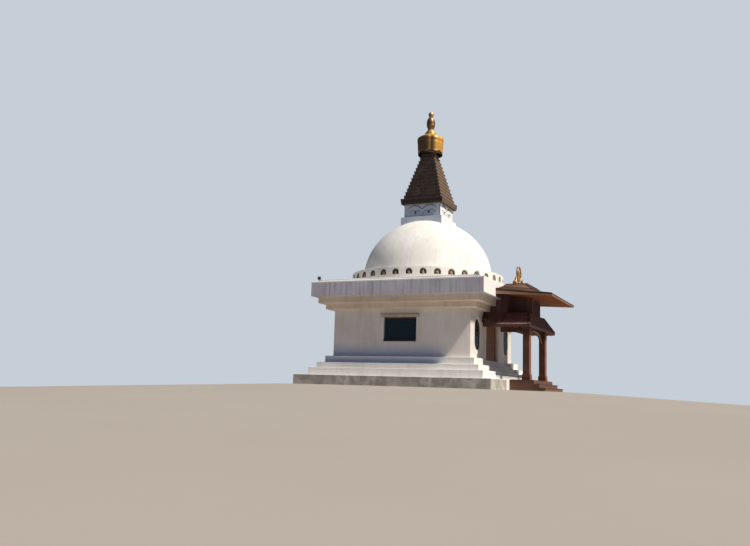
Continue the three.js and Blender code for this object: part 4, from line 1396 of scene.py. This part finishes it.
def addUpperRoof(p):
    rings, back = p.rings, p.back
    eaveX, eaveY = rings[0][:2]
    core = takenOver("upper_roof", "upperRoofDeck")
    for vertex in core.data.vertices:
        x, y, z = vertex.co
        inside = abs(x) <= eaveX - 0.01
        vertex.co.z += p.lift if z < soffitAt(y) + 0.005 else -p.sink[inside]
        if not inside:
            vertex.co.x -= math.copysign(p.inset, x)
        if y < eaveY + 0.01:
            vertex.co.y += p.inset
    dress(core, deckUnderside, ("upper_roof",))

    shingles, caps = [], []
    for (x0, y0, front0, back0), (x1, y1, front1, back1), rows in zip(rings, rings[1:], p.rows):
        for side in (-1, 1):
            rear, corner = (side * x0, back, back0), (side * x0, y0, front0)
            far = ((side * x1, y1, front1), (side * x1, back, back1))
            shingles += laid((rear, corner, *far), rows, p.shingle)
            foot = Vector(corner).lerp(far[0], p.capStart if x0 == eaveX else 0)
            caps.append(hipCap(foot, far[0], *p.hipCap))
        frontY = y0 + (p.setIn if x0 == eaveX else 0)
        front = ((-x0, frontY, front0), (x0, frontY, front0), (x1, y1, front1), (-x1, y1, front1))
        shingles += laid(front, rows, p.shingle)
    ridgeX, ridgeY, ridgeZ = rings[-1][:3]
    for n in range(p.ridgeBoards):
        y = ridgeY + n * p.ridgeStep
        end = min(back, y + p.ridgeStep - 0.005)
        shingles.append(straight((-ridgeX, y, ridgeZ), (ridgeX, end, ridgeZ + 0.018), "x"))
    capLow, capTop = (ridgeZ + rise for rise in p.ridgeCap)
    for side in (-1, 1):
        caps.append(sideBoard(side, ridgeX - 0.06, ridgeX + 0.05, (ridgeY - 0.03, back), (capLow, capTop)))
    caps.append(straight((-ridgeX - 0.05, ridgeY - 0.05, capLow),
                         (ridgeX + 0.05, ridgeY + 0.06, capTop), "x"))
    dress(boarded(shingles, "upperShingles", p.edge), shingleTimber)
    dress(boarded(caps, "upperCaps", 0.004), skirtEdge)

    drips, fascias, boards = [], [], []
    drip, backDrip = p.drip
    frontTop, backTop = (z + p.overDeck for z in rings[0][2:])
    frontFoot, backFoot = frontTop - drip, backTop - backDrip  # where the fascia boards start
    frontTall = frontFoot - soffitAt(eaveY) + p.fasciaDrop[0]
    backTall = backFoot - soffitAt(back) + p.fasciaDrop[1]
    inX, inY = eaveX - p.setIn, eaveY + p.setIn
    for side in (-1, 1):
        edge, inner = side * eaveX, side * inX
        drips.append(edging((edge, eaveY, frontTop), (edge, back, backTop), drip, backDrip,
                            (-side * p.dripThick, 0, 0)))
        fascias.append(edging((inner, inY, frontFoot), (inner, back, backFoot), frontTall, backTall,
                              (-side * p.fasciaThick, 0, 0)))
    drips.append(edging((-eaveX, eaveY, frontTop), (eaveX, eaveY, frontTop), drip, drip,
                        (0, p.dripThick, 0)))
    fascias.append(edging((-inX, inY, frontFoot), (inX, inY, frontFoot), frontTall, frontTall,
                          (0, p.fasciaThick, 0)))
    reach = eaveX - p.inset
    count = round(2 * reach / p.soffitBoard)
    step = 2 * reach / count
    front = eaveY + p.inset
    for n in range(count):
        x = -reach + n * step
        far = x + step - 0.006
        ends = [(place, y, soffitAt(y)) for place, y in ((x, front), (far, front), (far, back), (x, back))]
        boards.append(slat(*ends, (0, 0, p.soffitThick)))
    for side in (-1, 1):
        ledger = sideBoard(side, eaveX - 0.05, p.ledgerInner, (back - p.ledgerThick, back),
                           (p.ledgerLow, soffitAt(back) - hair), "x")
        dress(boarded([ledger], "leftLedger" if side < 0 else "rightLedger", 0.008), beamTimber)
    dress(boarded(drips, "dripBoards", p.edge), dripTimber)
    dress(boarded(fascias, "eaveFascia", p.edge), fasciaTimber)
    dress(boarded(boards, "soffitBoards", 0.002), soffitTimber)
    print("upper roof laid")


# Door frame, and the two panelled leaves with ring pulls and hinges.
doorPlan = {
    "meet": 0.006,
    "side": 1.074,
    "back": -3.775,
    "thick": 0.06,
    "floor": 1.62,
    "head": 3.73,
    "frameTop": 3.82,
    "frameOuter": 1.17,
    "frameClear": 1.08,
    "frameFront": -3.85,
    "wallInside": -3.7,
    "stile": 0.105,
    "midStile": 0.085,
    "rails": (1.63, 1.85, 2.51, 2.615, 3.06, 3.165, 3.6, 3.722),
    "bevel": 0.006,
    "panel": ((-0.004, 0.022, 0), (0.04, 0.008, 0.013)),  # inset, depth and edge of the panel and its field
    "mouldWide": 0.016,
    "pullHeight": 2.66,
    "rose": (0.034, 0.008),
    "boss": 0.013,
    "pullRing": (0.038, 0.0055),
    "hingeX": 1.077,
    "hingeY": -3.763,
    "hingeRadius": 0.012,
    "levels": (1.95, 3.3),
    "knuckle": 0.07,
    "strap": 0.06,
    "rivet": 0.006,
    "rivetsAt": (0.45, 0.82),
}


def hingeHalf(p, side, towards, low):
    x = side * p.hingeX
    barrel = eased(rod((x, p.hingeY, low + p.knuckle / 2), p.hingeRadius, p.knuckle, 24), 0.0015)
    reach = side * towards * p.strap
    x0, x1 = sorted((x, x + reach))
    strap = block((x0, p.back - hair, low + hair), (x1, p.back + 0.004, low + p.knuckle - hair), 0.001)
    parts = [smoothed(barrel, 40), strap]
    for share in p.rivetsAt:
        place = (x + reach * share, p.back + p.rivet / 2, low + p.knuckle / 2)
        parts.append(smoothed(ball(place, p.rivet, 12, 6), 60))
    return joined(parts, "hinge")


# Outline of jambs and head round the doorway, between an inner and an outer edge.
def portal(p, inner, innerTop, outer, outerTop):
    return [(-outer, p.floor), (-inner, p.floor), (-inner, innerTop), (inner, innerTop),
            (inner, p.floor), (outer, p.floor), (outer, outerTop), (-outer, outerTop)]


def addDoors(p):
    outer, clear, head, top = p.frameOuter, p.frameClear, p.head, p.frameTop
    front, inside = p.frameFront, p.wallInside
    mouldings = [
        (clear, head, outer, top, front, p.back, 0.006),
        (clear - 0.003, head - 0.003, clear + 0.018, head + 0.018, front - 0.012, front + 0.01, 0.004),
        (outer - 0.03, top - 0.03, outer, top, p.back - 0.01, inside + 0.002, 0.003),
        (outer - 0.015, top - 0.015, outer + 0.08, top + 0.08, inside - 0.001, inside + 0.02, 0.006),
    ]
    parts = [plate([portal(p, *edges)], "y", low, high, bevel) for *edges, low, high, bevel in mouldings]
    dress(joined(parts, "doorFrame"), doorTimber, ("door_frame",))
    for side, word in ((-1, "left"), (1, "right")):
        body = "door_" + word
        x0, x1 = sorted((side * p.meet, side * p.side))
        front, back = p.back - p.thick, p.back
        middle, halfMid = (x0 + x1) / 2, p.midStile / 2
        columns = ((x0 + p.stile, middle - halfMid), (middle + halfMid, x1 - p.stile))
        holes = [(left, foot, right, far) for foot, far in zip(p.rails[1::2], p.rails[2::2])
                 for left, right in columns]
        outline = ring((x0, p.rails[0]), (x1, p.rails[-1]))
        parts = [plate([outline, *(ring(hole[:2], hole[2:]) for hole in holes)], "y", front, back, p.bevel)]
        for left, foot, right, far in holes:
            for inset, sink, edge in p.panel:
                parts.append(block((left + inset, front + sink, foot + inset),
                                   (right - inset, back - sink, far - inset), edge, 2))
            around = [ring((left + inset, foot + inset), (right - inset, far - inset))
                      for inset in (0, p.mouldWide)]
            parts.append(plate(around, "y", front + 0.006, front + 0.024, 0.004))
            parts.append(plate(around, "y", back - 0.024, back - 0.006, 0.004))
        dress(joined(parts, word + "Leaf"), doorTimber, (body,), body)
        pulls = []
        x, z = side * (p.meet + p.stile / 2), p.pullHeight
        roseWide, roseDeep = p.rose
        ringWide, ringThick = p.pullRing
        for out, face in ((-1, front), (1, back)):
            rose = rod((x, face + out * roseDeep / 2, z), roseWide, roseDeep, 32, math.pi / 2)
            pulls += [eased(rose, 0.002, 2), ball((x, face + out * 0.012, z), p.boss, 20, 12)]
            place = (x, face + out * 0.017, z - ringWide)
            bpy.ops.mesh.primitive_torus_add(major_segments=40, minor_segments=12, major_radius=ringWide,
                                             minor_radius=ringThick, location=place,
                                             rotation=(math.pi / 2 - out * 0.12, 0, 0))
            pulls.append(settled(bpy.context.object))
        dress(smoothed(joined(pulls, word + "Pulls"), 50), brass, (), body)
        leafHinges = [hingeHalf(p, side, -1, level + p.knuckle + 0.0003) for level in p.levels]
        dress(joined(leafHinges, word + "LeafHinges"), ironCoat, (), body)
        frameHinges = [hingeHalf(p, side, 1, level) for level in p.levels]
        dress(joined(frameHinges, word + "FrameHinges"), ironCoat)
    print("doors hung")


# Wheel of the law on its pedestal, and the two deer.
emblemPlan = {
    "place": -5.5,
    "centre": 6.5,
    "ridge": 5.8,
    "rim": [(0.372, -0.028), (0.382, -0.042), (0.4, -0.045), (0.408, -0.034), (0.426, -0.034),
            (0.434, -0.043), (0.446, -0.038), (0.45, 0), (0.446, 0.038), (0.434, 0.043), (0.426, 0.034),
            (0.408, 0.034), (0.4, 0.045), (0.382, 0.042), (0.372, 0.028), (0.372, -0.028)],
    "spokes": 8,
    "hub": [(0, -0.075), (0.022, -0.073), (0.036, -0.06), (0.05, -0.046), (0.085, -0.045), (0.104, -0.038),
            (0.11, -0.02), (0.11, 0.02), (0.104, 0.038), (0.085, 0.045), (0.05, 0.046), (0.036, 0.06),
            (0.022, 0.073), (0, 0.075)],
    "spoke": [(0, 0.09), (0.022, 0.09), (0.022, 0.125), (0.03, 0.135), (0.03, 0.15), (0.018, 0.16),
              (0.015, 0.21), (0.024, 0.245), (0.015, 0.28), (0.018, 0.335), (0.03, 0.345), (0.03, 0.36),
              (0.022, 0.37), (0.022, 0.385), (0, 0.385)],
    "pedestal": [(0, 5.8), (0.225, 5.8), (0.225, 5.83), (0.2, 5.845), (0.17, 5.875), (0.12, 5.9),
                 (0.105, 5.93), (0.125, 5.955), (0.15, 5.975), (0.155, 5.995), (0.11, 6.01), (0.09, 6.03),
                 (0.09, 6.07), (0, 6.07)],
    "deerPath": [(0.925, 0, 5.9), (0.86, 0, 5.935), (0.77, 0, 5.93), (0.69, 0, 5.95), (0.65, 0, 6.02),
                 (0.635, 0, 6.1), (0.612, 0, 6.158), (0.575, 0, 6.15), (0.54, 0, 6.125)],
    "standDepth": 0.66,
    "deerGrow": (1.45, 1.22),
    "deerRadius": [0.07, 0.088, 0.08, 0.082, 0.058, 0.046, 0.046, 0.03, 0.018],
    "limbApart": 0.045,                        # what the second number of a limb's points is counted in
    "limbs": [([(0.7, 1, 5.9), (0.64, 1, 5.845), (0.575, 1, 5.825), (0.63, 1.1, 5.818)],
               [0.034, 0.022, 0.015, 0.011]),
              ([(0.9, 1, 5.89), (0.83, 1.25, 5.85), (0.76, 1.3, 5.822), (0.84, 1.4, 5.816)],
               [0.05, 0.034, 0.017, 0.011]),
              ([(0.618, 0.45, 6.155), (0.64, 0.9, 6.2), (0.652, 1.05, 6.222)], [0.012, 0.013, 0.004])],
    "tail": ([(0.955, 0, 5.9), (0.978, 0, 5.87)], [0.014, 0.008]),
    "bed": ((0.53, -0.078, 5.8), (0.982, 0.078, 5.836), 0.008, 2),
}


def limb(points, radii):
    mesh = bpy.data.meshes.new("limb")
    mesh.from_pydata(points, [(i, i + 1) for i in range(len(points) - 1)], [])
    piece = linked("limb", mesh)
    modifier = piece.modifiers.new("shape", "SKIN")
    for dot, radius in zip(mesh.skin_vertices[0].data, radii):
        dot.radius = (radius, radius)
    mesh.skin_vertices[0].data[0].use_root = True
    bpy.ops.object.modifier_apply(modifier=modifier.name)
    return shaped(piece, "SUBSURF", levels=2, render_levels=2)


def addEmblem(p):
    stand = Matrix.Translation((0, p.place, p.centre))
    rim, hub, foot = spun(p.rim, 72), spun(p.hub, 40), spun(p.pedestal, 40)
    for piece in (rim, hub):
        piece.data.transform(stand @ Matrix.Rotation(math.pi / 2, 4, "X"))
    foot.data.transform(Matrix.Translation((0, p.place, 0)) @ Matrix.Scale(p.standDepth, 4, (0, 1, 0)))
    spoke = spun(p.spoke, 12)
    wheel = [rim, hub, foot]
    for k in range(p.spokes):
        wheel.append(copied(spoke, stand @ Matrix.Rotation(fullTurn * k / p.spokes, 4, "Y")))
    bpy.data.objects.remove(spoke)
    dress(smoothed(joined(wheel, "gildedWheel"), 40), gold, ("wheel",))

    parts = [limb(p.deerPath, p.deerRadius)]
    for y in (-p.limbApart, p.limbApart):
        parts += [limb([(x, y * out, z) for x, out, z in points], radii) for points, radii in p.limbs]
    parts += [limb(*p.tail), block(*p.bed)]
    deer = smoothed(joined(parts, "deerRight"), 50)
    grown = Matrix.Diagonal((1, *p.deerGrow, 1))
    deer.data.transform(Matrix.Translation((0, p.place, p.ridge)) @ grown @
                        Matrix.Translation((0, 0, -p.ridge)))
    other = copied(deer, mirrorX)
    dress(deer, gold, ("deer_right",))
    dress(other, gold, ("deer_left",), name="deerLeft")
    print("emblem gilded")


# Spotlights on the coping, turned up towards the dome.
lampPlan = {
    "x": 4.86,
    "y": 4.62,
    "foot": 5.73,
    "head": 5.91,
    "aim": math.radians(36),
    "base": 0.045,
    "stem": 0.013,
    "yokeDrop": 0.105,
    "yokeWide": 0.086,
    "yokeHalf": 0.012,
    "case": ((-0.055, -0.08, -0.078), (0.045, 0.08, 0.078), 0.01, 2),
    "pane": ((-0.0565, -0.072, -0.07), (-0.0545, 0.072, 0.07)),
    "bezel": ((0.085, 0.083), (0.072, 0.07)),
    "fins": 7,
    "finStep": 0.02,
}


def addLamps(p):
    foot = block((-p.base, -p.base, p.foot), (p.base, p.base, p.foot + 0.012), 0.003, 2)
    stem = spun([(0, p.foot), (p.stem, p.foot), (p.stem, p.foot + 0.03), (0.01, p.foot + 0.035),
                 (0.01, p.head - 0.1), (0, p.head - 0.1)], 20)
    low, wide, half = p.head - p.yokeDrop, p.yokeWide, p.yokeHalf
    yoke = [block((-half, y - 0.0015, low), (half, y + 0.0015, p.head + half), 0.001)
            for y in (0.0015 - wide, wide - 0.0015)]
    yoke.append(block((-half, -wide, low - 0.003), (half, wide, low + 0.001), 0.001))
    head, pane = block(*p.case), block(*p.pane)
    heights = [p.finStep * (k - (p.fins - 1) / 2) for k in range(p.fins)]
    fins = [block((0.044, -0.07, z - 0.003), (0.06, 0.07, z + 0.003), 0.001) for z in heights]
    rim = plate([ring((-y, -z), (y, z)) for y, z in p.bezel], "x", -0.063, -0.052, 0.003)
    lift = Matrix.Translation((0, 0, p.head)) @ Matrix.Rotation(p.aim, 4, "Y")
    for piece in (head, rim, pane, *fins):
        piece.data.transform(lift)
    body = joined([foot, smoothed(stem), *yoke, head, rim, *fins], "spotlight")
    for signX, wordX in ((-1, "left"), (1, "right")):
        for signY, wordY in ((-1, "front"), (1, "back")):
            place = Matrix.Translation((signX * p.x, signY * p.y, 0))
            turn = place if signX > 0 else place @ mirrorX
            name = wordX + wordY.capitalize()
            made, glass = copied(body, turn), copied(pane, turn)
            # Front lamps take the pale coat as painted sunlight; the back ones keep the grey coat.
            dress(made, sunlitLampCoat if signY < 0 else ironCoat, ("lamp_" + wordX + "_" + wordY,),
                  name=name + "Spotlight")
            dress(glass, tintedGlass, name=name + "SpotlightPane")
    bpy.data.objects.remove(body)
    bpy.data.objects.remove(pane)
    print("spotlights set")


def addCamera(v):
    forward = Vector((math.cos(v.heading), math.sin(v.heading), 0))
    right = Vector((forward.y, -forward.x, 0))
    ahead = forward * math.cos(v.tiltUp) + Vector((0, 0, math.sin(v.tiltUp)))
    above = right.cross(ahead)
    across = right * math.cos(v.lean) + above * math.sin(v.lean)
    upward = above * math.cos(v.lean) - right * math.sin(v.lean)
    bpy.ops.object.camera_add(location=v.place)
    camera = bpy.context.object
    camera.name = "photoCamera"
    camera.rotation_euler = Matrix((across, upward, -ahead)).transposed().to_euler()
    camera.data.lens = v.lens
    camera.data.sensor_width = v.sensor
    camera.data.clip_end = 400
    bpy.context.scene.camera = camera


def addStudio(p):
    bpy.ops.mesh.primitive_circle_add(vertices=128, radius=p.floorFlat, fill_type="NGON")
    floor = bpy.context.object
    floor.name = "studioFloor"
    reach = p.floorEdge / p.floorFlat
    drop = p.floorFall * (p.floorEdge - p.floorFlat)
    openMesh(floor)
    bpy.ops.mesh.extrude_edges_move()
    bpy.ops.transform.translate(value=(0, 0, -drop))
    bpy.ops.transform.resize(value=(reach, reach, 1))
    closeMesh()
    ground, shader, add = newFinish("paleStudioFloor", Roughness=0.95)
    where = add("TexCoord").outputs["Object"]
    cloud = add("TexNoise", Vector=where, Scale=0.15, Detail=3)
    blend = add("Mix", Factor=cloud, A=p.floorLight, B=p.floorDark)
    feed(shader, Base_Color=blend)
    floor.data.materials.append(ground)

    world = bpy.data.worlds.new("paleSky")
    world.use_nodes = True
    glow = addNode(world, "Background", Color=p.skyColour, Strength=p.skyStrength)
    paper = addNode(world, "Background", Color=p.backdrop, Strength=1)
    seen = addNode(world, "LightPath").outputs["Is Camera Ray"]
    whole = addNode(world, "MixShader", seen, glow, paper)
    feed(world.node_tree.nodes["World Output"], Surface=whole)
    bpy.context.scene.world = world
    bpy.ops.object.light_add(type="SUN")
    sun = bpy.context.object
    sun.name = "softSun"
    sun.data.energy = p.sunStrength
    sun.data.angle = p.sunAngle
    sun.data.color = linear(p.sunColour)[:3]
    sun.rotation_euler = Vector(p.sunFrom).to_track_quat("Z", "Y").to_euler()
    bpy.context.scene.view_settings.view_transform = "Standard"


stages = [
    (addMasonry, masonry), (addWalls, wallPlan), (addWindows, wallPlan), (addDrum, drumPlan),
    (addSpire, spirePlan), (addFinial, finialPlan), (addPaint, paintPlan), (addDeck, deckPlan),
    (addPorchFrame, framePlan), (addStorey, storeyPlan), (addSkirt, skirtPlan), (addUpperRoof, roofPlan),
    (addDoors, doorPlan), (addEmblem, emblemPlan), (addLamps, lampPlan), (addCamera, view),
    (addStudio, studio),
]
for build, plan in stages:
    build(SimpleNamespace(**plan))
bpy.data.objects.remove(sawn)
